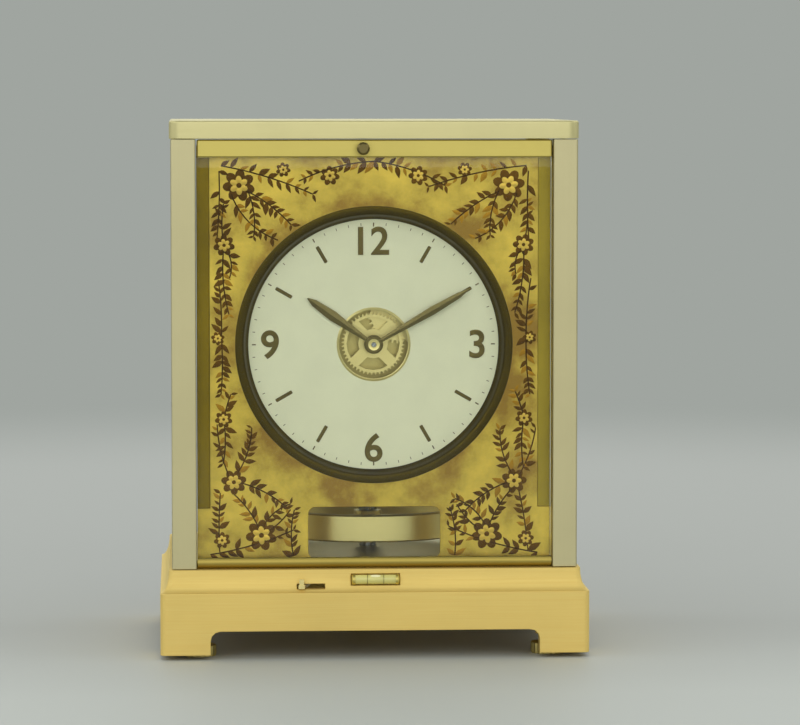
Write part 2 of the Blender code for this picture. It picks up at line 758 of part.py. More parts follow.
def plinth():
    """Cast plinth: block, cove and low arches, hollow underneath, with bosses for the feet."""
    half = (PLINTH_WIDTH / 2, PLINTH_DEPTH / 2)
    shape = cube_shape((-half[0], -half[1], SKIRT_LIFT), (half[0], half[1], PLINTH_SHOULDER))
    round_edges(shape, upright_edges(shape), PLINTH_CORNER, 3)
    top = [face for face in shape.faces if face.normal.z > 0.5]
    inset = 0.0
    for step in range(1, COVE_STEPS + 1):
        angle = math.pi / 2 * step / COVE_STEPS
        next_inset = COVE_INSET * math.sin(angle)
        height = PLINTH_TOP - (PLINTH_TOP - PLINTH_SHOULDER) * math.cos(angle)
        grown = bmesh.ops.extrude_face_region(shape, geom=top)["geom"]
        bmesh.ops.delete(shape, geom=top, context="FACES_ONLY")
        top = [item for item in grown if isinstance(item, bmesh.types.BMFace)]
        corners = [item for item in grown if isinstance(item, bmesh.types.BMVert)]
        shrink = [(size - next_inset) / (size - inset) for size in half]
        bmesh.ops.scale(shape, vec=(shrink[0], shrink[1], 1), verts=corners)
        for corner in corners:
            corner.co.z = height
        inset = next_inset
    made = from_bmesh("plinth", shape, "gilt")
    inner = (half[0] - PLINTH_WALL, half[1] - PLINTH_WALL)
    cut(made, block("plinth_cavity", (-inner[0], -inner[1], -OVERRUN),
                    (inner[0], inner[1], CAVITY_TOP)))
    for name, end, across, reach, turn in (
            ("front_arches", ARCH_END, half[0], half[1] + OVERRUN, FORWARD),
            ("side_arches", SIDE_ARCH_END, half[1], half[0] + OVERRUN, SIDEWAYS)):
        outline = rounded_rectangle((end - across, -ARCH_HEIGHT), (across - end, ARCH_HEIGHT),
                                    ARCH_ROUND, 3)
        cut(made, flat(name, [outline], -reach, reach, turn=turn))
    for name, x, y in foot_places():
        join(made, rod(name + "_boss", FOOT_BOSS_RADIUS, FOOT_BOSS_BOTTOM,
                       CAVITY_TOP + PLINTH_CEILING / 2, at=(x, y, 0), sides=SMALL))
        cut(made, rod(name + "_bore", FOOT_SCREW_RADIUS + GAP, -OVERRUN, FOOT_SCREW_TOP + GAP,
                      at=(x, y, 0), sides=SMALL))
    join(made, turned("lock_stud", stepped(
        (LOCK_STUD_RADIUS, CAVITY_TOP + PLINTH_CEILING / 2, LOCK_LEVER_BOTTOM - GAP),
        (LOCK_STUD_HEAD_RADIUS, LOCK_LEVER_BOTTOM - GAP, LOCK_LEVER_BOTTOM - GAP - LOCK_STUD_HEAD)),
        at=lock_pivot_place(), sides=SMALL))
    slot_half = LOCK_TRAVEL / 2 + LOCK_TAB_WIDTH / 2 + LOOSE_GAP
    slot_middle = lock_pivot_place()[0]
    cut(made,
        rod("collar_hole", COLLAR_STEM_RADIUS + GAP, CAVITY_TOP - OVERRUN, PLINTH_TOP + OVERRUN),
        block("lock_slot", (slot_middle - slot_half, -half[1] - OVERRUN, LOCK_LEVER_BOTTOM - GAP),
              (slot_middle + slot_half, -inner[1] + OVERRUN, LOCK_LEVER_TOP + GAP)),
        rod("level_pocket", LEVEL_RADIUS + GAP, -LEVEL_LENGTH / 2 - GAP, LEVEL_LENGTH / 2 + GAP,
            at=level_place(), turn=ACROSS, sides=SMALL))
    return made


def foot_places():
    return (("levelling_foot_left", -FOOT_X, -FOOT_Y), ("levelling_foot_right", FOOT_X, -FOOT_Y),
            ("rear_foot", 0, FOOT_Y))


def level_place():
    return (0, -PLINTH_DEPTH / 2 + COVE_INSET - LEVEL_SINK + LEVEL_RADIUS / 2, LEVEL_HEIGHT)


def lock_pivot_place():
    return (LOCK_TAB_REST + LOCK_TRAVEL / 2, -LOCK_PIVOT_BACK, 0)


def feet():
    """Two knurled levelling screws in front and a plain foot behind."""
    made = []
    for name, x, y in foot_places():
        plain = name == "rear_foot"
        if plain:
            outline = circle(FOOT_RADIUS, count=ROUND)
        else:
            outline = [polar(FOOT_RADIUS - FOOT_KNURL_DEPTH * (index % 2),
                             180 * index / FOOT_KNURLS) for index in range(2 * FOOT_KNURLS)]
        foot = flat(name, [outline], 0, FOOT_DISC, "brass", at=(x, y, 0))
        join(foot, rod(name + "_screw", FOOT_SCREW_RADIUS, FOOT_DISC - OVERRUN, FOOT_SCREW_TOP,
                       at=(x, y, 0), sides=SMALL))
        made.append(foot)
    return made


def deck():
    half_x = POST_INNER_X + DECK_CLEARANCE
    half_y = POST_INNER_Y - GAP
    outline = [(-half_x, -half_y), (half_x, -half_y), (half_x, half_y), (-half_x, half_y)]
    return flat("base_deck", [outline, circle(COLLAR_STEM_RADIUS + GAP, count=SMALL)],
                DECK_BOTTOM, DECK_TOP, "brass")


def posts():
    """Four corner posts, grooved for the panes; the front ones take the door's pins."""
    groove = GLASS_THICKNESS / 2 + GAP
    for name, side, end in (("post_front_left", -1, -1), ("post_front_right", 1, -1),
                            ("post_rear_left", -1, 1), ("post_rear_right", 1, 1)):
        low = (side * POST_X - POST_WIDTH / 2, end * POST_Y - POST_WIDTH / 2, PLINTH_TOP + GAP)
        high = (side * POST_X + POST_WIDTH / 2, end * POST_Y + POST_WIDTH / 2, SLAB_BOTTOM - GAP)
        shape = cube_shape(low, high)
        round_edges(shape, upright_edges(shape), POST_EDGE, 2)
        post = from_bmesh(name, shape, "pale_gilt")
        inner_y = sorted((end * (POST_INNER_Y - OVERRUN), end * (POST_INNER_Y + GROOVE_DEPTH)))
        cut(post, block(name + "_side_groove",
                        (side * SIDE_GLASS_X - groove, inner_y[0], low[2] - OVERRUN),
                        (side * SIDE_GLASS_X + groove, inner_y[1], high[2] + OVERRUN)))
        if end > 0:
            inner_x = sorted((side * (POST_INNER_X - OVERRUN), side * (POST_INNER_X + GROOVE_DEPTH)))
            cut(post, block(name + "_rear_groove",
                            (inner_x[0], REAR_GLASS_Y - groove, low[2] - OVERRUN),
                            (inner_x[1], REAR_GLASS_Y + groove, high[2] + OVERRUN)))
        else:
            hole = sorted((side * (POST_INNER_X - OVERRUN),
                           side * (POST_INNER_X + HINGE_PIN_LENGTH + GAP)))
            cut(post, rod(name + "_pin_hole", HINGE_PIN_RADIUS + GAP, hole[0], hole[1],
                          at=(0, -DOOR_FORWARD, DOOR_AXIS_HEIGHT), turn=ACROSS, sides=TINY))


def slab():
    half_x = BODY_WIDTH / 2 + SLAB_OVERHANG
    half_y = BODY_DEPTH / 2 + SLAB_OVERHANG
    shape = cube_shape((-half_x, -half_y, SLAB_BOTTOM), (half_x, half_y, CASE_HEIGHT))
    round_edges(shape, upright_edges(shape), SLAB_CORNER, 5)
    round_edges(shape, level_edges(shape, CASE_HEIGHT), SLAB_EDGE, 2)
    return from_bmesh("top_slab", shape, "gilt")


def fixed_panes():
    """Side and rear panes, standing in the posts' grooves."""
    low = PLINTH_TOP + GAP
    high = SLAB_BOTTOM - GAP
    reach_y = POST_INNER_Y + GROOVE_DEPTH - GAP
    reach_x = POST_INNER_X + GROOVE_DEPTH - GAP
    half = GLASS_THICKNESS / 2
    for name, side in (("side_glass_left", -1), ("side_glass_right", 1)):
        block(name, (side * SIDE_GLASS_X - half, -reach_y, low),
              (side * SIDE_GLASS_X + half, reach_y, high), "glass")
    block("rear_glass", (-reach_x, REAR_GLASS_Y - half, low), (reach_x, REAR_GLASS_Y + half, high),
          "glass")


def door():
    """Front pane between a grooved hinge bar and a top rail with its pull knob."""
    axis = (0, -DOOR_FORWARD, DOOR_AXIS_HEIGHT)
    half_bar = POST_INNER_X - GAP
    pin_end = POST_INNER_X + HINGE_PIN_LENGTH
    bar = turned("door_hinge_bar", stepped((HINGE_PIN_RADIUS, pin_end, half_bar),
                                           (HINGE_BAR_RADIUS, half_bar, -half_bar),
                                           (HINGE_PIN_RADIUS, -half_bar, -pin_end)),
                 "gilt", at=axis, turn=ACROSS, sides=SMALL)
    half_pane = POST_INNER_X - DOOR_SIDE_CLEARANCE
    groove = GLASS_THICKNESS / 2 + GAP
    groove_floor = DOOR_AXIS_HEIGHT + HINGE_BAR_RADIUS - HINGE_BAR_GROOVE
    cut(bar, block("hinge_bar_groove", (-half_pane - GAP, -DOOR_FORWARD - groove, groove_floor),
                   (half_pane + GAP, -DOOR_FORWARD + groove, groove_floor + HINGE_BAR_GROOVE + OVERRUN)))
    rail = block("door_top_rail", (-half_pane, -DOOR_FORWARD - RAIL_DEPTH / 2, RAIL_BOTTOM),
                 (half_pane, -DOOR_FORWARD + RAIL_DEPTH / 2, RAIL_TOP), "gilt", edge=RAIL_EDGE)
    cut(rail, block("rail_groove", (-half_pane - OVERRUN, -DOOR_FORWARD - groove, RAIL_BOTTOM - OVERRUN),
                    (half_pane + OVERRUN, -DOOR_FORWARD + groove, RAIL_BOTTOM + RAIL_GROOVE)))
    pane = block("front_glass", (-half_pane, -DOOR_FORWARD - GLASS_THICKNESS / 2, groove_floor + GAP),
                 (half_pane, -DOOR_FORWARD + GLASS_THICKNESS / 2, RAIL_BOTTOM + RAIL_GROOVE - GAP),
                 "glass")
    seat = DOOR_FORWARD + RAIL_DEPTH / 2 + GAP
    neck = seat + KNOB_FOOT
    head = neck + KNOB_NECK
    knob = turned("pull_knob", [
        (0, head + KNOB_HEAD), (KNOB_HEAD_RADIUS * KNOB_CROWN_SHARE, head + KNOB_HEAD),
        (KNOB_HEAD_RADIUS, head + KNOB_HEAD * KNOB_BAND_TOP_SHARE),
        (KNOB_HEAD_RADIUS, head + KNOB_HEAD * KNOB_BAND_BOTTOM_SHARE), (KNOB_NECK_RADIUS, head),
        (KNOB_NECK_RADIUS, neck), (KNOB_FOOT_RADIUS, neck), (KNOB_FOOT_RADIUS, seat), (0, seat)],
        "dark", at=(KNOB_OFFSET, 0, (RAIL_TOP + RAIL_BOTTOM) / 2), turn=FORWARD, sides=SMALL)
    pivot("front_door_axis", axis, (bar, rail, pane, knob))


def panel():
    """Front panel between the posts, with set-back borders, the dial's aperture and a window."""
    wide = POST_INNER_X - GAP
    head = RAIL_BOTTOM + PANEL_HEAD_COVER
    window = rounded_rectangle((-WINDOW_WIDTH / 2, WINDOW_BOTTOM), (WINDOW_WIDTH / 2, WINDOW_TOP),
                               WINDOW_ROUND)
    outline = [(wide, PLINTH_TOP + GAP), (wide, RAIL_TOP - PANEL_TOP_GAP),
               (-wide, RAIL_TOP - PANEL_TOP_GAP), (-wide, PLINTH_TOP + GAP)]
    made = flat("decor_panel", [outline, circle(PANEL_APERTURE_RADIUS, CENTRE, FINE), window],
                PANEL_BACK, PANEL_FRONT, "panel", turn=FORWARD)
    for side in (-1, 1):
        border = [(side * (wide - PANEL_BORDER), PANEL_FOOT_TOP), (side * (wide - PANEL_BORDER), head),
                  (side * (wide + OVERRUN), head), (side * (wide + OVERRUN), PANEL_FOOT_TOP)]
        cut(made, flat("border_tool_%d" % side, [border], PANEL_FRONT - PANEL_REBATE,
                       PANEL_FRONT + OVERRUN, turn=FORWARD))
    return made


def bezel():
    """Dark ring in the panel's aperture, with a flange behind the panel and a seat for the dial."""
    outer = PANEL_APERTURE_RADIUS - GAP
    front = PANEL_FRONT + BEZEL_PROUD
    flange = PANEL_BACK - GAP
    seat = DIAL_FRONT + GAP
    recess = DIAL_RADIUS + GAP
    tail = DIAL_BACK - BEZEL_TAIL
    profile = [(BEZEL_MOUTH_RADIUS, front), (outer, front), (outer, flange),
               (BEZEL_FLANGE_RADIUS, flange), (BEZEL_FLANGE_RADIUS, flange - BEZEL_FLANGE),
               (outer, flange - BEZEL_FLANGE), (outer, tail), (recess, tail), (recess, seat),
               (BEZEL_LIP_RADIUS, seat)]
    return turned("dial_bezel", profile, "dark", at=on_axis(CENTRE), turn=FORWARD, sides=FINE,
                  closed=True)


def dial():
    """White dial with an open centre, on three feet that stand in the front plate."""
    made = turned("dial", tube_profile(DIAL_RADIUS, DIAL_APERTURE_RADIUS, DIAL_FRONT, DIAL_BACK),
                  "dial", at=on_axis(CENTRE), turn=FORWARD, sides=FINE, closed=True)
    for index, angle in enumerate(DIAL_FOOT_ANGLES):
        join(made, rod("dial_foot_%d" % index, DIAL_FOOT_RADIUS, FRONT_PLATE_BACK + GAP,
                       DIAL_BACK + DIAL_THICKNESS / 2,
                       at=on_axis(polar(DIAL_FOOT_CIRCLE, angle, CENTRE)), turn=FORWARD, sides=TINY))
    return made


def level():
    """Cross level let into the cove: a glass vial between two slightly larger end caps."""
    end = LEVEL_LENGTH / 2
    inner = end - LEVEL_CAP
    thin = LEVEL_RADIUS - LEVEL_CAP_STEP
    return turned("level_vial", stepped((LEVEL_RADIUS, end, inner), (thin, inner, -inner),
                                        (LEVEL_RADIUS, -inner, -end)),
                  "glass", at=level_place(), turn=ACROSS, sides=SMALL)


def lock():
    """Bell-crank lever under the plinth's ceiling, and the collar that it lifts to the balance."""
    place = lock_pivot_place()
    tab = (LOCK_TAB_REST - place[0], -PLINTH_DEPTH / 2 + GAP - place[1])
    pad = (-place[0], -place[1])
    tab_angle = math.degrees(math.atan2(tab[1], tab[0]))
    pad_angle = math.degrees(math.atan2(pad[1], pad[0]))
    tab_length = math.hypot(tab[0], tab[1])
    half_tab = LOCK_TAB_WIDTH / 2
    tab_corners = [(tab_length, -half_tab), (tab_length, half_tab)]
    pad_arc = [polar(LOCK_PAD_RADIUS, pad_angle + turn, pad) for turn in range(-90, 91, 30)]
    bend = (pad_angle + tab_angle) / 2
    outline = (swung(tab_corners, tab_angle) + [polar(LOCK_STUD_HEAD_RADIUS, bend)] + pad_arc
               + [polar(LOCK_STUD_HEAD_RADIUS, bend + 180)])
    lever = flat("lock_lever", [outline, circle(LOCK_STUD_RADIUS + GAP, count=SMALL)],
                 LOCK_LEVER_BOTTOM, LOCK_LEVER_TOP, "steel", at=place)
    inset = half_tab - GAP
    upright = swung([(tab_length - LOCK_TAB_PROUD, -inset), (tab_length - GAP, -inset),
                     (tab_length - GAP, inset), (tab_length - LOCK_TAB_PROUD, inset)], tab_angle)
    join(lever, flat("lock_tab", [upright], LOCK_LEVER_TOP - LOCK_LEVER_THICKNESS / 2,
                     LOCK_LEVER_BOTTOM + LOCK_TAB_HEIGHT, at=place))
    collar = turned("lock_collar", [
        (0, COLLAR_TOP - COLLAR_DISH), (COLLAR_DISH_RADIUS, COLLAR_TOP - COLLAR_DISH),
        (COLLAR_DISH_RADIUS, COLLAR_TOP), (COLLAR_HEAD_RADIUS, COLLAR_TOP),
        (COLLAR_HEAD_RADIUS, COLLAR_TOP - COLLAR_HEAD), (COLLAR_STEM_RADIUS, COLLAR_TOP - COLLAR_HEAD),
        (COLLAR_STEM_RADIUS, LOCK_LEVER_TOP + GAP), (0, LOCK_LEVER_TOP + GAP)], "steel", sides=SMALL)
    return lever, collar


def balance():
    """Heavy ring on four arms, hung on a long staff with a roller and its impulse pin."""
    inner = RING_RADIUS - RING_WALL
    ring = turned("balance_ring", [
        (inner, RING_TOP), (RING_RADIUS - RING_EDGE, RING_TOP), (RING_RADIUS, RING_TOP - RING_EDGE),
        (RING_RADIUS, RING_BOTTOM + RING_EDGE), (RING_RADIUS - RING_EDGE, RING_BOTTOM),
        (inner, RING_BOTTOM)], "gilt", sides=FINE, closed=True)
    arm_low = HUB_BOTTOM + (HUB_HEIGHT - ARM_THICKNESS) / 2
    reach = RING_RADIUS - RING_WALL / 2
    half_arm = ARM_WIDTH / 2
    arm = [(half_arm, -half_arm), (reach, -half_arm), (reach, half_arm)]
    cross = [point for quarter in range(4) for point in swung(arm, 90 * quarter)]
    join(ring, flat("balance_arms", [cross], arm_low, arm_low + ARM_THICKNESS))
    join(ring, rod("balance_hub", HUB_RADIUS, HUB_BOTTOM, HUB_BOTTOM + HUB_HEIGHT))
    cut(ring, rod("balance_bore", STAFF_RADIUS + GAP, HUB_BOTTOM - OVERRUN,
                  HUB_BOTTOM + HUB_HEIGHT + OVERRUN))
    collar_bottom = HUB_BOTTOM + HUB_HEIGHT + GAP
    collar_top = collar_bottom + STAFF_COLLAR
    staff = turned("balance_staff", stepped(
        (STAFF_RADIUS, STAFF_TOP, ROLLER_HEIGHT + ROLLER_THICKNESS),
        (ROLLER_RADIUS, ROLLER_HEIGHT + ROLLER_THICKNESS, ROLLER_HEIGHT),
        (STAFF_RADIUS, ROLLER_HEIGHT, collar_top),
        (STAFF_COLLAR_RADIUS, collar_top, collar_bottom),
        (STAFF_RADIUS, collar_bottom, HUB_BOTTOM)), "steel", sides=SMALL)
    pin_at = polar(IMPULSE_PIN_CIRCLE, IMPULSE_PIN_ANGLE)
    join(staff, rod("impulse_pin", IMPULSE_PIN_RADIUS, ROLLER_HEIGHT - IMPULSE_PIN_LENGTH,
                    ROLLER_HEIGHT + ROLLER_THICKNESS / 2, at=(pin_at[0], pin_at[1], 0), sides=TINY))
    return ring, staff


def platform():
    """Platform on four columns that stand round the balance ring."""
    half = (PLATFORM_WIDTH / 2, PLATFORM_DEPTH / 2)
    flat("movement_platform", [rounded_rectangle((-half[0], -half[1]), half, PLATFORM_ROUND),
                               circle(STAFF_RADIUS + STAFF_HOLE_CLEARANCE, count=SMALL)],
         PLATFORM_BOTTOM, PLATFORM_TOP, "brass")
    low = DECK_TOP + GAP
    high = PLATFORM_BOTTOM - GAP
    for name, side, end in (("column_front_left", -1, -1), ("column_front_right", 1, -1),
                            ("column_rear_left", -1, 1), ("column_rear_right", 1, 1)):
        turned(name, stepped((COLUMN_FOOT_RADIUS, high, high - COLUMN_FOOT),
                             (COLUMN_RADIUS, high - COLUMN_FOOT, low + COLUMN_FOOT),
                             (COLUMN_FOOT_RADIUS, low + COLUMN_FOOT, low)),
               "brass", at=(side * COLUMN_X, end * COLUMN_Y, 0), sides=SMALL)


def plate_outline():
    return rounded_rectangle((-PLATE_HALF_WIDTH, PLATE_BOTTOM), (PLATE_HALF_WIDTH, PLATE_TOP),
                             PLATE_ROUND)


def plates():
    """Two movement plates with their pivot holes, studs and the guide roller's arm."""
    dial_feet = [polar(DIAL_FOOT_CIRCLE, angle, CENTRE) for angle in DIAL_FOOT_ANGLES]
    front_holes = ([circle(BORE, place) for place in (CENTRE, INTERMEDIATE, ESCAPE, PALLET)]
                   + [circle(BARREL_ARBOR_RADIUS + GAP, BARREL)]
                   + [circle(DIAL_FOOT_RADIUS + GAP, place) for place in dial_feet])
    front = flat("front_plate", [plate_outline()] + front_holes, FRONT_PLATE_BACK,
                 FRONT_PLATE_FRONT, "brass", turn=FORWARD)
    stud_top = DIAL_BACK - MINUTE_PINION_TOP_BEHIND + GAP
    join(front, rod("minute_stud", MINUTE_STUD_RADIUS, FRONT_PLATE_BACK + PLATE_THICKNESS / 2,
                    stud_top, at=on_axis(MINUTE), turn=FORWARD, sides=TINY))
    back_holes = ([circle(BORE, place) for place in (CENTRE, INTERMEDIATE, ESCAPE)]
                  + [circle(PIVOT_RADIUS + LOOSE_GAP, PALLET)]
                  + [circle(BARREL_ARBOR_RADIUS + GAP, BARREL)])
    back = flat("back_plate", [plate_outline()] + back_holes, BACK_PLATE_BACK, BACK_PLATE_FRONT,
                "brass", turn=FORWARD)
    middle = BACK_PLATE_BACK + PLATE_THICKNESS / 2
    click_back = BACK_PLATE_BACK - PULLEY_BEHIND - RATCHET_THICKNESS - GAP
    join(back, rod("click_stud", CLICK_STUD_RADIUS, click_back, middle, at=on_axis(CLICK),
                   turn=FORWARD, sides=TINY))
    roller = guide_place()
    arm_inner = CHAIN_X - ROLLER_WHEEL_WIDTH / 2 - GAP
    join(back,
         block("guide_arm", (arm_inner - GUIDE_ARM_WIDTH, -middle, roller[2] - GUIDE_ARM_HEIGHT / 2),
               (arm_inner, roller[1] + GUIDE_ARM_HEIGHT / 2, roller[2] + GUIDE_ARM_HEIGHT / 2)),
         rod("guide_pin", GUIDE_PIN_RADIUS, arm_inner - GUIDE_ARM_WIDTH / 2,
             CHAIN_X + ROLLER_WHEEL_WIDTH / 2 + GAP, at=(0, roller[1], roller[2]), turn=ACROSS,
             sides=TINY))
    low = BACK_PLATE_FRONT + GAP
    high = FRONT_PLATE_BACK - GAP
    x = PLATE_HALF_WIDTH - PILLAR_INSET
    for name, side, z in (("pillar_bottom_left", -1, PLATE_BOTTOM + PILLAR_INSET),
                          ("pillar_bottom_right", 1, PLATE_BOTTOM + PILLAR_INSET),
                          ("pillar_top_left", -1, PLATE_TOP - PILLAR_INSET),
                          ("pillar_top_right", 1, PLATE_TOP - PILLAR_INSET)):
        turned(name, stepped((PILLAR_RADIUS, high, high - PILLAR_FOOT),
                             (PILLAR_WAIST_RADIUS, high - PILLAR_FOOT, low + PILLAR_FOOT),
                             (PILLAR_RADIUS, low + PILLAR_FOOT, low)),
               "brass", at=(side * x, 0, z), turn=FORWARD, sides=TINY)


def guide_place():
    """Centre of the guide roller, which turns the chain from the drum down to the pulley."""
    away = ROLLER_WHEEL_RADIUS + CHAIN_RADIUS + GAP
    return (CHAIN_X, -(CHAIN_FORWARD - away), DIAL_CENTRE_HEIGHT - away)


def pinion(name, leaves, module, towards, top, length, at):
    """Pinion leaves with a gap towards the wheel that drives or is driven."""
    return flat(name, [gear_outline(leaves, module, towards, True)], top - length, top, at=at,
                turn=FORWARD)


def arbor_profile(front_end, back_end):
    """Arbor between the plates, with a pivot in each plate."""
    return stepped((PIVOT_RADIUS, front_end, FRONT_PLATE_BACK - GAP),
                   (ARBOR_RADIUS, FRONT_PLATE_BACK - GAP, BACK_PLATE_FRONT + GAP),
                   (PIVOT_RADIUS, BACK_PLATE_FRONT + GAP, back_end))


def centre_group():
    """Centre arbor with its wheel and pinion, cannon pinion and minute hand."""
    at = on_axis(CENTRE)
    hour_top = DIAL_FRONT + HOUR_HAND_OVER_DIAL + HAND_THICKNESS
    minute_low = hour_top + MINUTE_HAND_OVER_HOUR
    minute_top = minute_low + HAND_THICKNESS
    arbor = turned("centre_arbor", arbor_profile(minute_top + GAP, BACK_PLATE_BACK + ARBOR_END_GAP),
                   "steel", at=at, turn=FORWARD, sides=TINY)
    wheel_top = FRONT_PLATE_BACK - CENTRE_WHEEL_BEHIND
    join(arbor, pinion("centre_leaves", PINION_LEAVES, TRAIN_MODULE, INTERMEDIATE_ANGLE,
                       FRONT_PLATE_BACK - CENTRE_PINION_BEHIND, PINION_LENGTH, at))
    outlines = wheel_outlines(CENTRE_TEETH, TRAIN_MODULE, ESCAPE_ANGLE)
    wheel = flat("centre_wheel", outlines + [circle(ARBOR_RADIUS + GAP)],
                 wheel_top - WHEEL_THICKNESS, wheel_top, "gilt", at=at, turn=FORWARD)
    cannon_low = FRONT_PLATE_FRONT + GAP
    cannon_top = minute_low - GAP
    cannon = turned("cannon_pinion", tube_profile(CANNON_PIPE_RADIUS, BORE, cannon_top, cannon_low),
                    "steel", at=at, turn=FORWARD, sides=TINY, closed=True)
    leaves_top = DIAL_BACK - CANNON_BEHIND + CANNON_PINION_LENGTH
    leaves = flat("cannon_leaves", [gear_outline(MOTION_LEAVES, MINUTE_MODULE, MINUTE_ANGLE, True),
                                    circle((BORE + CANNON_PIPE_RADIUS) / 2)],
                  leaves_top - CANNON_PINION_LENGTH, leaves_top, at=at, turn=FORWARD)
    join(cannon, leaves)
    hand = hand_piece("minute_hand", MINUTE_HAND_LENGTH, MINUTE_HAND_WIDTH, minute_low, minute_top,
                      MINUTE_HAND_ANGLE, BORE)
    pivot("centre_axis", at, (arbor, wheel, cannon, hand))


def hand_piece(name, length, width, low, high, angle, bore):
    """A hand: narrow at its root, widest near the outer third, pointed at its tip."""
    right = [(length * HAND_WIDEST_SHARE, width / 2),
             (length * HAND_SHOULDER_SHARE, width * HAND_SHOULDER_WIDTH_SHARE / 2),
             (length, HAND_TIP_WIDTH / 2)]
    blade = [(x, -y) for x, y in right] + [(x, y) for x, y in reversed(right)]
    outline = swung(hub_outline(HAND_BOSS_RADIUS, HAND_ROOT_WIDTH / 2, blade), angle)
    return flat(name, [outline, circle(bore)], low, high, "dark", at=on_axis(CENTRE), turn=FORWARD)


def motion_work():
    """Hour wheel with its pipe and hand, and the minute wheel that drives it."""
    at = on_axis(CENTRE)
    top = DIAL_BACK - HOUR_WHEEL_BEHIND
    outlines = ([gear_outline(HOUR_TEETH, HOUR_MODULE, MINUTE_ANGLE),
                 circle((CANNON_PIPE_RADIUS + GAP + HOUR_PIPE_RADIUS) / 2)]
                + crossings(HOUR_CROSSING_INNER, HOUR_CROSSING_OUTER, HOUR_SPOKE_WIDTH, SPOKES,
                            start=0))
    wheel = flat("hour_wheel", outlines, top - HOUR_WHEEL_THICKNESS, top, "gilt", at=at, turn=FORWARD)
    hand_low = DIAL_FRONT + HOUR_HAND_OVER_DIAL
    pipe = turned("hour_pipe", tube_profile(HOUR_PIPE_RADIUS, CANNON_PIPE_RADIUS + GAP,
                                            hand_low - GAP, top - HOUR_WHEEL_THICKNESS / 2),
                  at=at, turn=FORWARD, sides=TINY, closed=True)
    join(wheel, pipe)
    hand = hand_piece("hour_hand", HOUR_HAND_LENGTH, HOUR_HAND_WIDTH, hand_low,
                      hand_low + HAND_THICKNESS, HOUR_HAND_ANGLE, CANNON_PIPE_RADIUS + GAP)
    pivot("hour_axis", at, (wheel, hand))
    place = on_axis(MINUTE)
    minute_top = DIAL_BACK - MINUTE_WHEEL_BEHIND
    minute = flat("minute_wheel", [gear_outline(MINUTE_TEETH, MINUTE_MODULE, MINUTE_ANGLE + 180)],
                  minute_top - MINUTE_WHEEL_THICKNESS, minute_top, "gilt", at=place, turn=FORWARD)
    leaves_top = DIAL_BACK - MINUTE_PINION_TOP_BEHIND
    join(minute, pinion("minute_leaves", MOTION_LEAVES, HOUR_MODULE, MINUTE_ANGLE + 180, leaves_top,
                        leaves_top - minute_top + MINUTE_WHEEL_THICKNESS / 2, place))
    cut(minute, rod("minute_bore", MINUTE_STUD_RADIUS + GAP,
                    minute_top - MINUTE_WHEEL_THICKNESS - OVERRUN, leaves_top + OVERRUN, at=place,
                    turn=FORWARD, sides=TINY))
    pivot("minute_axis", place, (minute,))


def intermediate_group():
    """Wheel that drives the centre pinion, on an arbor whose pinion the barrel drives."""
    at = on_axis(INTERMEDIATE)
    back_end = BACK_PLATE_BACK + ARBOR_END_GAP
    made = turned("intermediate_wheel", arbor_profile(FRONT_PLATE_FRONT - ARBOR_END_GAP, back_end),
                  "gilt", at=at, turn=FORWARD, sides=TINY)
    join(made, pinion("intermediate_leaves", PINION_LEAVES, WINDING_MODULE, BARREL_ANGLE,
                      FRONT_PLATE_BACK - INTERMEDIATE_PINION_BEHIND, PINION_LENGTH, at))
    top = FRONT_PLATE_BACK - CENTRE_PINION_BEHIND - (PINION_LENGTH - WHEEL_THICKNESS) / 2
    outlines = wheel_outlines(INTERMEDIATE_TEETH, TRAIN_MODULE, INTERMEDIATE_ANGLE + 180)
    join(made, flat("intermediate_teeth", outlines, top - WHEEL_THICKNESS, top, at=at, turn=FORWARD))
    pivot("intermediate_axis", at, (made,))


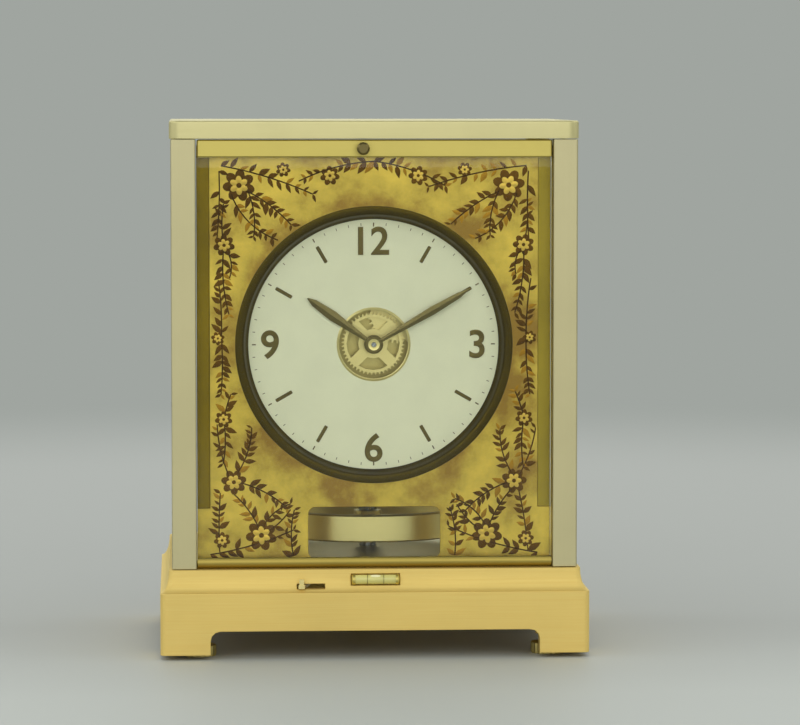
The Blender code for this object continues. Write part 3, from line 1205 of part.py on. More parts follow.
def barrel_group():
    """Spring barrel with its great wheel, turning on the arbor that the pulley winds."""
    at = on_axis(BARREL)
    wheel_top = FRONT_PLATE_BACK - BARREL_WHEEL_BEHIND
    bore = BARREL_ARBOR_RADIUS + GAP
    barrel = flat("barrel", [gear_outline(BARREL_TEETH, WINDING_MODULE, BARREL_ANGLE + 180)],
                  wheel_top - WHEEL_THICKNESS, wheel_top, "brass", at=at, turn=FORWARD)
    join(barrel, rod("barrel_drum", BARREL_RADIUS, wheel_top - WHEEL_THICKNESS / 2,
                     wheel_top + BARREL_DEPTH, at=at, turn=FORWARD, sides=ROUND))
    cut(barrel, rod("barrel_bore", bore, wheel_top - WHEEL_THICKNESS - OVERRUN,
                    wheel_top + BARREL_DEPTH + OVERRUN, at=at, turn=FORWARD, sides=TINY))
    pivot("barrel_axis", at, (barrel,))
    ratchet_front = BACK_PLATE_BACK - PULLEY_BEHIND
    pulley_front = ratchet_front - RATCHET_THICKNESS
    pulley_back = pulley_front - PULLEY_THICKNESS
    arbor = rod("barrel_arbor", BARREL_ARBOR_RADIUS, pulley_back - GAP,
                FRONT_PLATE_FRONT - ARBOR_END_GAP, "steel", at=at, turn=FORWARD, sides=TINY)
    pulley_centre = (pulley_front + pulley_back) / 2
    groove = PULLEY_GROOVE / 2
    pulley = turned("winding_pulley", [
        (0, pulley_front), (PULLEY_FLANGE_RADIUS, pulley_front),
        (PULLEY_RADIUS, pulley_centre + groove), (PULLEY_RADIUS, pulley_centre - groove),
        (PULLEY_FLANGE_RADIUS, pulley_back), (0, pulley_back)], "brass", at=at, turn=FORWARD,
        sides=SMALL)
    pitch = 360 / RATCHET_TEETH
    teeth = []
    for index in range(RATCHET_TEETH):
        teeth.append(polar(RATCHET_RADIUS - RATCHET_DEPTH, index * pitch))
        teeth.append(polar(RATCHET_RADIUS, (index + RATCHET_LEAN_SHARE) * pitch))
    join(pulley, flat("ratchet", [teeth], pulley_front - GAP, ratchet_front, at=at, turn=FORWARD))
    cut(pulley, rod("pulley_bore", bore, pulley_back - OVERRUN, ratchet_front + OVERRUN, at=at,
                    turn=FORWARD, sides=TINY))
    pivot("winding_axis", at, (arbor, pulley))


def click():
    """Pawl whose nose stands at the ratchet's teeth, on a stud of the back plate."""
    front = BACK_PLATE_BACK - PULLEY_BEHIND
    nose = CLICK_REACH - RATCHET_RADIUS - CLICK_CLEARANCE
    blade = [(nose, -CLICK_NOSE_WIDTH), (nose, 0)]
    outline = swung(hub_outline(CLICK_HUB_RADIUS, CLICK_WIDTH / 2, blade), CLICK_ANGLE + 180)
    return flat("click", [outline, circle(CLICK_STUD_RADIUS + GAP)], front - RATCHET_THICKNESS, front,
                "steel", at=on_axis(CLICK), turn=FORWARD)


def escape_group():
    """Escape wheel of fifteen pointed teeth, with its arbor and pinion."""
    at = on_axis(ESCAPE)
    pitch = 360 / ESCAPE_TEETH
    outline = []
    for index in range(ESCAPE_TEETH):
        middle = 90 + index * pitch
        outline.append(polar(ESCAPE_RADIUS - ESCAPE_DEPTH, middle - ESCAPE_ROOT_SHARE * pitch))
        outline.append(polar(ESCAPE_RADIUS, middle - ESCAPE_TIP_SHARE * pitch))
        outline.append(polar(ESCAPE_RADIUS, middle + ESCAPE_TIP_SHARE * pitch))
        outline.append(polar(ESCAPE_RADIUS - ESCAPE_DEPTH, middle + ESCAPE_BACK_SHARE * pitch))
    rim_inner = ESCAPE_RADIUS - ESCAPE_DEPTH - ESCAPE_RIM_WIDTH
    top = FRONT_PLATE_BACK - ESCAPE_WHEEL_BEHIND
    holes = crossings(ESCAPE_HUB_RADIUS, rim_inner, SPOKE_WIDTH, ESCAPE_SPOKES)
    made = turned("escape_wheel", arbor_profile(FRONT_PLATE_FRONT - ARBOR_END_GAP,
                                                BACK_PLATE_BACK + ARBOR_END_GAP),
                  "gilt", at=at, turn=FORWARD, sides=TINY)
    leaves_top = (FRONT_PLATE_BACK - CENTRE_WHEEL_BEHIND
                  + (PINION_LENGTH - WHEEL_THICKNESS) / 2)
    join(made, pinion("escape_leaves", ESCAPE_LEAVES, TRAIN_MODULE, ESCAPE_ANGLE + 180, leaves_top,
                      PINION_LENGTH, at),
         flat("escape_teeth", [outline] + holes, top - WHEEL_THICKNESS, top, at=at, turn=FORWARD))
    pivot("escape_axis", at, (made,))


def pallet_group():
    """Fork: pallet arms over the escape wheel, and a lever behind the plate with two prongs."""
    at = on_axis(PALLET)
    middle = FRONT_PLATE_BACK - ESCAPE_WHEEL_BEHIND - WHEEL_THICKNESS / 2
    low = middle - ANCHOR_THICKNESS / 2
    high = middle + ANCHOR_THICKNESS / 2
    lever_front = BACK_PLATE_BACK - LEVER_BEHIND
    lever_back = lever_front - LEVER_THICKNESS
    fork = turned("pallet_fork", stepped(
        (PIVOT_RADIUS, FRONT_PLATE_FRONT - ARBOR_END_GAP, FRONT_PLATE_BACK - GAP),
        (ARBOR_RADIUS, FRONT_PLATE_BACK - GAP, BACK_PLATE_FRONT + GAP),
        (PIVOT_RADIUS, BACK_PLATE_FRONT + GAP, BACK_PLATE_BACK - COCK_BEHIND - COCK_PLATE + GAP)),
        "steel", at=at, turn=FORWARD, sides=TINY)
    direction = polar(1, 90 - PALLET_ANGLE)
    stone_inner = ESCAPE_RADIUS + PALLET_CLEARANCE
    stone_outer = stone_inner + PALLET_LENGTH
    half_stone = PALLET_WIDTH / 2
    right = [(ANCHOR_HUB_RADIUS / 2, ANCHOR_HUB_RADIUS)]
    for radius, aside in ((stone_outer, half_stone), (stone_inner, half_stone),
                          (stone_inner, -half_stone), (stone_outer - ANCHOR_ARM, -half_stone)):
        right.append((direction[0] * radius + direction[1] * aside,
                      direction[1] * radius - direction[0] * aside - PALLET_DISTANCE))
    right.append((ANCHOR_HUB_RADIUS, -ANCHOR_HUB_RADIUS))
    anchor = right + [(-x, y) for x, y in reversed(right)]
    join(fork, flat("anchor", [anchor], low, high, at=at, turn=FORWARD))
    head_low = LEVER_TOP - PRONG_HEIGHT
    lever_length = head_low + PRONG_HEIGHT / 2 - PALLET[1]
    half_bar = LEVER_WIDTH / 2
    blade = [(lever_length, -half_bar), (lever_length, half_bar)]
    lever = swung(hub_outline(ANCHOR_HUB_RADIUS, half_bar, blade), 90)
    join(fork, flat("fork_lever", [lever], lever_back, lever_front, at=at, turn=FORWARD))
    prong_outer = PRONG_GAP + PRONG_WIDTH
    prong_end = -(IMPULSE_PIN_CIRCLE + PRONG_SHORT)
    head_front = -(lever_front - LEVER_THICKNESS / 2)
    head_back = -(lever_back - LEVER_THICKNESS / 2)
    right = [(prong_outer, head_front), (prong_outer, prong_end), (PRONG_GAP, prong_end),
             (PRONG_GAP, head_back)]
    head = right + [(-x, y) for x, y in reversed(right)]
    join(fork, flat("fork_head", [head], head_low, LEVER_TOP))
    return fork


def cock():
    """Bridge behind the back plate that carries the fork's rear pivot."""
    leg_front = BACK_PLATE_BACK - GAP
    plate_front = BACK_PLATE_BACK - COCK_BEHIND
    at = on_axis(PALLET)
    made = block("pallet_cock", (-COCK_HALF_WIDTH, -COCK_HEIGHT / 2, plate_front - COCK_PLATE),
                 (COCK_HALF_WIDTH, COCK_HEIGHT / 2, leg_front), "brass", at=at, turn=FORWARD)
    inner = COCK_HALF_WIDTH - COCK_LEG
    cut(made, block("cock_gap", (-inner, -COCK_HEIGHT / 2 - OVERRUN, plate_front),
                    (inner, COCK_HEIGHT / 2 + OVERRUN, leg_front + OVERRUN), at=at, turn=FORWARD),
        rod("cock_bore", BORE, plate_front - COCK_PLATE - OVERRUN, plate_front + OVERRUN, at=at,
            turn=FORWARD, sides=TINY))
    return made


def suspension():
    """Bracket behind the back plate, with the block and wire that carry the balance."""
    front = -BACK_PLATE_BACK + GAP
    arm_bottom = BRACKET_TOP - BRACKET_THICKNESS
    outline = [(front, BRACKET_BOTTOM), (front + BRACKET_THICKNESS, BRACKET_BOTTOM),
               (front + BRACKET_THICKNESS, arm_bottom), (BRACKET_REACH, arm_bottom),
               (BRACKET_REACH, BRACKET_TOP), (front, BRACKET_TOP)]
    bracket = flat("suspension_bracket", [outline], -BRACKET_HALF_WIDTH, BRACKET_HALF_WIDTH, "brass",
                   turn=SIDEWAYS)
    cut(bracket, rod("wire_hole", SUSPENSION_WIRE_RADIUS + LOOSE_GAP, arm_bottom - OVERRUN,
                     BRACKET_TOP + OVERRUN, sides=TINY))
    seat = BRACKET_TOP + GAP
    turned("suspension_block", stepped((SUSPENSION_BLOCK_RADIUS, seat + SUSPENSION_BLOCK, seat),
                                       (SUSPENSION_WIRE_RADIUS, seat, STAFF_TOP + GAP)),
           "steel", sides=TINY)
    half = REGULATOR_WIDTH / 2
    outline = hub_outline(REGULATOR_RADIUS, half, [(REGULATOR_LENGTH, -half), (REGULATOR_LENGTH, half)])
    lever = flat("regulator_lever", [outline, circle(SUSPENSION_BLOCK_RADIUS + GAP)], seat,
                 seat + REGULATOR_THICKNESS, "steel")
    return lever


def drum():
    """Sealed drum: shell on four lugs, and a ridged cap that closes its back."""
    at = on_axis(CENTRE)
    front = -DRUM_FRONT
    back = -DRUM_BACK
    inner = DRUM_RADIUS - DRUM_WALL
    shell = turned("drum_shell", [
        (DRUM_MOUTH_RADIUS, front), (DRUM_RADIUS, front), (DRUM_RADIUS, back), (inner, back),
        (inner, front - DRUM_WALL), (DRUM_MOUTH_RADIUS, front - DRUM_WALL)], "brass", at=at,
        turn=FORWARD, closed=True)
    for index, angle in enumerate(DRUM_LUG_ANGLES):
        join(shell, rod("drum_lug_%d" % index, DRUM_LUG_RADIUS, front - DRUM_WALL / 2,
                        BACK_PLATE_BACK - GAP, at=on_axis(polar(DRUM_LUG_CIRCLE, angle, CENTRE)),
                        turn=FORWARD, sides=TINY))
    cap_front = back + CAP_THICKNESS
    profile = [(0, cap_front), (inner - GAP, cap_front), (inner - GAP, back + GAP)]
    step = (inner - GAP) / (CAP_RIDGES * 2)
    for index in range(CAP_RIDGES * 2 - 1, 0, -1):
        depth = back + GAP + CAP_RIDGE * (index % 2)
        profile.append((step * index, depth))
    profile.append((0, back + GAP))
    turned("drum_cap", profile, "gilt", at=at, turn=FORWARD)
    return cap_front


def bellows_and_spring(cap_front):
    """Folded bellows against the cap, and the coil that pushes back on its face."""
    at = on_axis(CENTRE)
    back = cap_front + GAP
    face = back + BELLOWS_LENGTH
    fold = BELLOWS_LENGTH / BELLOWS_FOLDS
    profile = [(0, face), (BELLOWS_RADIUS - BELLOWS_FOLD, face)]
    for index in range(BELLOWS_FOLDS):
        profile.append((BELLOWS_RADIUS, face - fold * (index + 0.5)))
        profile.append((BELLOWS_RADIUS - BELLOWS_FOLD, face - fold * (index + 1)))
    profile.append((0, back))
    bellows = turned("bellows", profile, "nickel", at=at, turn=FORWARD)
    join(bellows, rod("bellows_hook", HOOK_RADIUS, face - BELLOWS_FOLD, face + HOOK_LENGTH,
                      at=(CHAIN_X, 0, DIAL_CENTRE_HEIGHT), turn=FORWARD, sides=TINY))
    spring_front = -DRUM_FRONT - DRUM_WALL - GAP - SPRING_WIRE_RADIUS
    spring_back = face + GAP + SPRING_WIRE_RADIUS
    count = SPRING_TURNS * SPRING_POINTS
    points = []
    for index in range(count + 1):
        angle = math.tau * index / SPRING_POINTS
        forward = spring_back + (spring_front - spring_back) * index / count
        points.append((SPRING_RADIUS * math.cos(angle), -forward,
                       DIAL_CENTRE_HEIGHT + SPRING_RADIUS * math.sin(angle)))
    wire("compensation_spring", points, SPRING_WIRE_RADIUS, "steel", 1)
    print("least gap between curls: %.5f m" % least_gap(points, SPRING_WIRE_RADIUS))
    return face + HOOK_LENGTH


def least_gap(points, radius):
    """Least clear distance between curls that are at least half a turn apart."""
    nearest = min((Vector(points[first]) - Vector(points[second])).length
                  for first in range(len(points))
                  for second in range(first + SPRING_POINTS // 2, len(points)))
    return nearest - 2 * radius


def chain(hook_end):
    """Chain from the bellows' hook, over the guide roller and down to the winding pulley."""
    roller = guide_place()
    away = ROLLER_WHEEL_RADIUS + CHAIN_RADIUS + GAP
    points = [(CHAIN_X, -hook_end - GAP, DIAL_CENTRE_HEIGHT)]
    for step in range(CHAIN_BEND_STEPS + 1):
        angle = math.pi / 2 * step / CHAIN_BEND_STEPS
        points.append((CHAIN_X, roller[1] - away * math.sin(angle),
                       roller[2] + away * math.cos(angle)))
    points.append((CHAIN_X, -CHAIN_FORWARD, BARREL[1]))
    wire("winding_chain", points, CHAIN_RADIUS, "steel", 2)
    half = ROLLER_WHEEL_WIDTH / 2
    wheel = turned("guide_roller", tube_profile(ROLLER_WHEEL_RADIUS, GUIDE_PIN_RADIUS + GAP, half,
                                                -half), "brass", at=roller, turn=ACROSS,
                   sides=SMALL, closed=True)
    return wheel


def build_clock():
    plinth()
    feet()
    deck()
    posts()
    slab()
    fixed_panes()
    door()
    panel()
    bezel()
    dial()
    level()
    lock()
    balance()
    platform()
    plates()
    centre_group()
    motion_work()
    intermediate_group()
    barrel_group()
    click()
    escape_group()
    pallet_group()
    cock()
    suspension()
    cap_front = drum()
    hook_end = bellows_and_spring(cap_front)
    chain(hook_end)


build_clock()
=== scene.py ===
"""Finishes, dial, ornament and studio for a glazed mantel clock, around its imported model.

Metres, +Z up. The clock faces -Y. Distances called forward are counted from y = 0 towards -Y,
and places in the plane of the dial are given as (x, z).
"""
import json
import math
import random

import bmesh
import bpy
from bpy.props import FloatProperty, FloatVectorProperty, PointerProperty
from mathutils import Matrix, Vector


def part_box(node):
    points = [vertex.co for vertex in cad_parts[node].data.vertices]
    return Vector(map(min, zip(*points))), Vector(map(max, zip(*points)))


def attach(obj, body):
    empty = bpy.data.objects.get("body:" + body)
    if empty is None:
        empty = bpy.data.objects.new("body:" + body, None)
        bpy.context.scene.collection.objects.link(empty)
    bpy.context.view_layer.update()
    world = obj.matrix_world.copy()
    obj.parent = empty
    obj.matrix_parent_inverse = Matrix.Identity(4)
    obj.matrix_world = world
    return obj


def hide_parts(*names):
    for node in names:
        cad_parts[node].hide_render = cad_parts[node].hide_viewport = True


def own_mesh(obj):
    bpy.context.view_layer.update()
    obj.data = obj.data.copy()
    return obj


bl_info = {
    "name": "Glazed mantel clock",
    "version": (1, 0, 0),
    "blender": (4, 5, 0),
    "location": "3D Viewport > Sidebar > Clock",
    "description": "Finishes a glazed mantel clock with its dial, ornament and studio",
    "category": "Object",
}

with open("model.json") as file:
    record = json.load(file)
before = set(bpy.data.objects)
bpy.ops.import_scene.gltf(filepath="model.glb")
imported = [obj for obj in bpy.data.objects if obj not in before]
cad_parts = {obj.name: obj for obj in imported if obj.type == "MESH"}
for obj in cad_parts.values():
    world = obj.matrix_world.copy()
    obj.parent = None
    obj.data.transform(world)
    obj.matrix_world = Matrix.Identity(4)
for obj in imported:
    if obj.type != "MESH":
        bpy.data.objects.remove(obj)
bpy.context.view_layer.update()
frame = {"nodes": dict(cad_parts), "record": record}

# Points closer than this are one: in the frame's meshes, and in shapes drawn here
WELD = 0.00001
FINE_WELD = WELD / 10
# How far an added piece reaches into what it stands on, or stays off it
GAP = 0.0003
# Edges sharper than this many degrees stay sharp, and faces flatter than this are joined
SMOOTH = 34
FLAT = 0.4
HOURS = 12
MINUTES = 60
SCREW_SIDES = 24
ARC_STEPS = 10
# Width of a screw's slot as a share of the head
SLOT_SHARE = 0.13


def tone(red, green, blue):
    """Linear colour of a screen colour given in steps of 0 to 255."""
    steps = [value / 255 for value in (red, green, blue)]
    return [value / 12.92 if value <= 0.04045 else ((value + 0.055) / 1.055) ** 2.4
            for value in steps]


def paint(name, description, colour):
    """A colour property, given by its screen colour."""
    return FloatVectorProperty(
        name=name, description=description, default=tone(*colour), subtype="COLOR", size=3,
        min=0, max=1)


def measure(name, description, length):
    """A length property in metres."""
    return FloatProperty(name=name, description=description, default=length, min=WELD,
                         unit="LENGTH", precision=5)


class ClockColours(bpy.types.PropertyGroup):
    """Colours of the clock's finishes and its studio."""
    gilt: paint("Gilt", "Plinth", (242, 217, 137))
    pale_gilt: paint("Pale gilt", "Corner posts", (202, 193, 150))
    slab: paint("Slab", "Top slab", (220, 211, 157))
    rail: paint("Rail", "Door's top rail and level's caps", (212, 195, 110))
    movement: paint("Movement", "Plates, deck, feet and drum", (212, 194, 124))
    panel: paint("Panel", "Lacquered gilt of the front panel", (234, 200, 80))
    # Brown of the lacquer's clouds, which also carries the painted shade round the bezel
    stain: paint("Stain", "Brown clouds in the panel's lacquer", (160, 123, 42))
    leaf: paint("Leaf", "Dark leaves and stems on the panel", (108, 72, 14))
    sprig: paint("Sprigs", "Paler leaves among the dark ones", (178, 130, 34))
    blossom: paint("Blossom", "Raised gilt blossoms on the panel", (228, 190, 84))
    bar: paint("Hinge bar", "Darker gilt of the door's bottom bar", (178, 158, 82))
    # The set-back borders are coloured dark as painted shade of the gaps beside the panel, the
    # left one darker
    border: paint("Left border", "Set-back border left of the panel", (140, 116, 22))
    right_border: paint("Right border", "Set-back border right of the panel", (176, 152, 52))
    wheel: paint("Wheels", "Gilt wheels, columns and balance ring", (238, 220, 150))
    # The bezel is a real ring, coloured dark as painted shade of the gap round the dial
    bezel: paint("Bezel", "Dark ring round the dial", (76, 62, 8))
    dial: paint("Dial", "Ivory enamel", (242, 240, 202))
    marking: paint("Markings", "Numerals, batons and minute track", (112, 98, 56))
    hand: paint("Hands", "Bronze hands and pull knob", (118, 106, 66))
    steel: paint("Steel", "Polished steel", (170, 172, 174))
    nickel: paint("Nickel", "Bellows", (196, 196, 190))
    vial: paint("Spirit", "Spirit in the level's tube", (196, 190, 112))
    bubble: paint("Bubble", "Bubble in the level's tube", (226, 222, 170))
    backdrop: paint("Backdrop", "Studio behind the clock", (160, 165, 160))
    # Floor colours: the front is paler than the floor behind the clock, as painted light
    floor: paint("Floor", "Studio floor in front of the clock", (170, 175, 169))
    far_floor: paint("Far floor", "Studio floor behind the clock", (155, 159, 154))


class ClockSizes(bpy.types.PropertyGroup):
    """Sizes of the pieces that dress the clock."""
    numeral_height: measure("Numeral height", "Height of the four numerals", 0.0118)
    numeral_circle: measure("Numeral circle", "Radius on which numerals stand", 0.0436)
    numeral_relief: measure("Numeral relief", "Rise of numerals and batons", 0.00032)
    baton_length: measure("Baton length", "Length of the hour batons", 0.0078)
    baton_width: measure("Baton width", "Width of the hour batons", 0.0015)
    tick_circle: measure("Tick circle", "Outer radius of the minute track", 0.0512)
    tick_length: measure("Tick length", "Length of a minute tick", 0.0011)
    tick_width: measure("Tick width", "Width of a minute tick", 0.00028)
    rim_width: measure("Rim width", "Gilt rim round the dial's open centre", 0.0011)
    leaf_length: measure("Leaf length", "Length of the panel's largest leaves", 0.0066)
    leaf_relief: measure("Leaf relief", "Rise of the leaves above the panel", 0.00030)
    stem_radius: measure("Stem radius", "Half thickness of the panel's stems", 0.00032)
    screw_radius: measure("Screw radius", "Radius of the plates' screw heads", 0.0021)
    edge_softness: measure("Edge softness", "Rounding of the case's edges", 0.00035)


def colours():
    return bpy.context.scene.clock_colours


def sizes():
    return bpy.context.scene.clock_sizes


# Places that follow from the frame


def body_of_node(node):
    bodies = frame["record"]["behaviour"]["bodies"]
    return next(body for body, members in bodies.items() if node in members)


def middle_of(node):
    low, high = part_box(node)
    return (low + high) / 2


def half_of(node):
    low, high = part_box(node)
    return (high - low) / 2


def turned(degrees, axis="Z"):
    return Matrix.Rotation(math.radians(degrees), 4, axis)


def facing(x, z, forward, degrees=0):
    """Matrix that stands a shape drawn on XY in a plane of the dial, seen from the front."""
    return Matrix.Translation((x, -forward, z)) @ turned(90, "X") @ turned(degrees)


ROOT = body_of_node("plinth")
DIAL_X, _, DIAL_Z = middle_of("dial")
DIAL_FORWARD = -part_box("dial")[0].y
# Places shapes that are spun about the dial's axis
DIAL_AXIS = facing(DIAL_X, DIAL_Z, 0)
PANEL_LOW, PANEL_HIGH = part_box("decor_panel")
PANEL_FORWARD = -PANEL_LOW.y
BEZEL_RADIUS = half_of("dial_bezel").x
PILLARS = ("pillar_bottom_left", "pillar_bottom_right", "pillar_top_left", "pillar_top_right")
COLUMNS = ("column_front_left", "column_front_right", "column_rear_left", "column_rear_right")


# Materials

# How far a material's grain is stretched along each axis
EVEN = (1, 1, 1)
ALONG_X = (0.012, 1, 1)
ALONG_Z = (1, 1, 0.012)
# How much the lacquer darkens, and from where to where: towards the right, and round the bezel as
# painted shade
DARKER_RIGHT = (0.05, 0.042, 0.064)
PAINTED_SHADE_ROUND_BEZEL = (0.17, 0.072, 0.059)
# Metal finishes: material, colour, roughness, tarnish and, where it shows, the grain's
# stretch, fineness and depth
METALS = {
    "gilt": ("gilt", "gilt", 0.68, 0.96, ALONG_X, 2600, 0.01),
    "post": ("post_gilt", "pale_gilt", 0.42, 0.95, ALONG_Z, 2600, 0.02),
    "slab": ("slab_gilt", "slab", 0.50, 0.92, ALONG_X, 2600, 0.01),
    "rail": ("rail_gilt", "rail", 0.46, 0.93, ALONG_X, 2600, 0.02),
    "bar": ("hinge_bar_gilt", "bar", 0.46, 0.93, ALONG_X, 2600, 0.02),
    "wheel": ("wheel_gilt", "wheel", 0.36, 0.92),
    "movement": ("movement_brass", "movement", 0.38, 0.9, ALONG_Z, 2200, 0.02),
    "drum": ("drum_gilt", "movement", 0.42, 0.93),
    "leaf": ("leaf_bronze", "leaf", 0.42, 0.6, EVEN, 1100, 0.3),
    "sprig": ("sprig_bronze", "sprig", 0.42, 0.8, EVEN, 600, 0.1),
    "blossom": ("blossom_gilt", "blossom", 0.34, 0.75, EVEN, 1100, 0.2),
    # Painted shade: the set-back borders are coloured dark, the left darker than the right
    "border": ("border_bronze", "border", 0.42, 0.8),
    "right_border": ("right_border_bronze", "right_border", 0.42, 0.8),
    # The bezel's dark colour is painted shade of the gap round the dial
    "bezel": ("bezel_bronze", "bezel", 0.3, 0.88),
    "marking": ("marking_bronze", "marking", 0.4, 0.88),
    "hand": ("hand_bronze", "hand", 0.32, 0.88),
    "steel": ("clock_steel", "steel", 0.28, 0.9),
    "nickel": ("bellows_nickel", "nickel", 0.34, 0.9),
}
FINISHES = {}


def feed(node, inputs):
    """Fill a node's inputs: another node's socket is linked, a plain value is set."""
    for key, value in inputs.items():
        if isinstance(value, bpy.types.NodeSocket):
            node.id_data.links.new(value, node.inputs[key])
        else:
            node.inputs[key].default_value = value


def add_node(tree, kind, inputs, **settings):
    made = tree.nodes.new("ShaderNode" + kind)
    for key, value in settings.items():
        setattr(made, key, value)
    feed(made, inputs)
    return made


def place_in_object(tree):
    return add_node(tree, "TexCoord", {}).outputs["Object"]


def start_material(name, colour, metallic, roughness):
    """A material of one principled shader, with its constants on the shader's own sockets."""
    made = bpy.data.materials.new(name)
    made.use_nodes = True
    shader = made.node_tree.nodes["Principled BSDF"]
    shader.inputs["Base Color"].default_value = (*colour, 1)
    shader.inputs["Metallic"].default_value = metallic
    shader.inputs["Roughness"].default_value = roughness
    made.diffuse_color = (*colour, 1)
    return made, made.node_tree, shader


def grain(tree, stretch, scale, detail=3.0, rough=0.55):
    """Noise in object coordinates, stretched to run along one direction."""
    mapping = add_node(tree, "Mapping", {"Vector": place_in_object(tree), "Scale": stretch})
    return add_node(tree, "TexNoise", {
        "Vector": mapping.outputs["Vector"], "Scale": scale, "Detail": detail,
        "Roughness": rough}).outputs["Fac"]


def ramp(tree, factor, stops):
    """Colours spread over a factor, given as (position, colour) from low to high."""
    made = add_node(tree, "ValToRGB", {"Fac": factor})
    while len(made.color_ramp.elements) < len(stops):
        made.color_ramp.elements.new(0.5)
    for element, (position, colour) in zip(made.color_ramp.elements, stops):
        element.position = position
        element.color = (*colour, 1)
    return made.outputs["Color"]


def spread(tree, factor, low, high, start=0.3, stop=0.7, **settings):
    """Values from low to high while a factor goes from start to stop."""
    return add_node(tree, "MapRange", {
        "Value": factor, "From Min": start, "From Max": stop, "To Min": low, "To Max": high},
        **settings).outputs["Result"]


def combined(tree, operation, first, second):
    return add_node(tree, "Math", {0: first, 1: second}, operation=operation).outputs["Value"]


def relief(tree, height, strength, distance):
    return add_node(tree, "Bump", {
        "Height": height, "Strength": strength, "Distance": distance}).outputs["Normal"]


def shaded(colour, amount):
    return [value * amount for value in colour]


def metal(name, colour, roughness, tarnish, stretch=EVEN, fineness=120, depth=0):
    """Worked metal: its tone drifts, its polish varies, and fine grain runs one way."""
    made, tree, shader = start_material(name, colour, 1.0, roughness)
    clouds = grain(tree, EVEN, 26, 4)
    streaks = grain(tree, stretch, fineness)
    feed(shader, {
        "Base Color": ramp(tree, clouds, [(0.30, shaded(colour, tarnish)), (0.58, colour)]),
        "Roughness": spread(tree, streaks, roughness * 0.93, roughness * 1.08)})
    if depth:
        feed(shader, {"Normal": relief(tree, streaks, depth, 0.00006)})
    return made


def lacquered_gilt(name, colour):
    """Gilt under aged, crazed lacquer: cloudy browns; the lacquer is also darker towards the
    right, with painted shade round the bezel.
    """
    made, tree, shader = start_material(name, colour, 0.85, 0.38)
    place = place_in_object(tree)
    right = add_node(tree, "SeparateXYZ", {"Vector": place}).outputs["X"]
    centre = (DIAL_X, -PANEL_FORWARD, DIAL_Z)
    from_dial = add_node(tree, "VectorMath", {0: place, 1: centre}, operation="DISTANCE")
    clouds = grain(tree, EVEN, 48, 6, 0.62)
    # The clouds are lowered towards the right, and round the bezel as painted shade
    for source, (most, start, stop) in ((right, DARKER_RIGHT),
                                        (from_dial.outputs["Value"], PAINTED_SHADE_ROUND_BEZEL)):
        clouds = combined(tree, "SUBTRACT", clouds, spread(tree, source, 0, most, start, stop))
    fine = grain(tree, EVEN, 900)
    stops = [(0.28, colours().stain), (0.46, shaded(colour, 0.80)), (0.60, colour),
             (0.78, shaded(colour, 1.22))]
    feed(shader, {
        "Base Color": ramp(tree, clouds, stops),
        "Roughness": spread(tree, fine, 0.28, 0.5),
        "Normal": relief(tree, fine, 0.25, 0.0001),
        "Coat Weight": 0.25,
        "Coat Roughness": 0.2})
    return made


def enamel(name, colour, roughness, mottle):
    """Fired or painted surface, faintly uneven, under a soft gloss."""
    made, tree, shader = start_material(name, colour, 0.0, roughness)
    clouds = grain(tree, EVEN, 60, 4)
    fine = grain(tree, EVEN, 1500, 2)
    feed(shader, {
        "Base Color": ramp(tree, clouds, [(0.35, shaded(colour, mottle)), (0.6, colour)]),
        "Roughness": spread(tree, fine, roughness * 0.85, roughness * 1.2),
        "Normal": relief(tree, fine, 0.08, 0.00004),
        "Coat Weight": 0.15})
    return made


def clear_glass(name, tint):
    """Clear glass with the faintest uneven polish."""
    made, tree, shader = start_material(name, tint, 0.0, 0.0)
    smears = grain(tree, (1, 1, 0.4), 30, 2)
    feed(shader, {
        "Transmission Weight": 1.0, "IOR": 1.3, "Roughness": spread(tree, smears, 0.0, 0.02)})
    return made


def make_finishes():
    tones = colours()
    for finish, (name, colour, *worked) in METALS.items():
        FINISHES[finish] = metal(name, getattr(tones, colour), *worked)
    FINISHES.update(
        panel=lacquered_gilt("panel_lacquer", tones.panel),
        dial=enamel("dial_enamel", tones.dial, 0.42, 0.96),
        vial=enamel("vial_spirit", tones.vial, 0.12, 0.9),
        bubble=enamel("vial_bubble", tones.bubble, 0.1, 0.95),
        glass=clear_glass("case_glass", (0.97, 1.0, 0.98)))


# Shapes


def new_object(name, data):
    made = bpy.data.objects.new(name, data)
    bpy.context.scene.collection.objects.link(made)
    return made


def add_piece(name, shape, finish, smooth=SMOOTH, body=ROOT):
    """Make a shape a finished piece that rides on a body of the frame."""
    mesh = bpy.data.meshes.new(name)
    shape.to_mesh(mesh)
    shape.free()
    mesh.materials.append(FINISHES[finish])
    mesh.shade_smooth()
    mesh.set_sharp_from_angle(angle=math.radians(smooth))
    made = new_object(name, mesh)
    even = made.modifiers.new("even_flats", "WEIGHTED_NORMAL")
    even.keep_sharp = True
    even.weight = 100
    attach(made, body)
    return made


def finish_node(node, finish):
    """Give a node of the frame its finish."""
    piece = frame["nodes"][node]
    if not piece.material_slots:
        piece.data.materials.append(None)
    for place in piece.material_slots:
        place.material = FINISHES[finish]


def soften(shape, rims, offset, segments):
    """Round some edges of a shape, and return the vertices that are left there."""
    return bmesh.ops.bevel(
        shape, geom=rims, offset=offset, offset_type="OFFSET", segments=segments, profile=0.5,
        affect="EDGES", clamp_overlap=True, material=-1)["verts"]


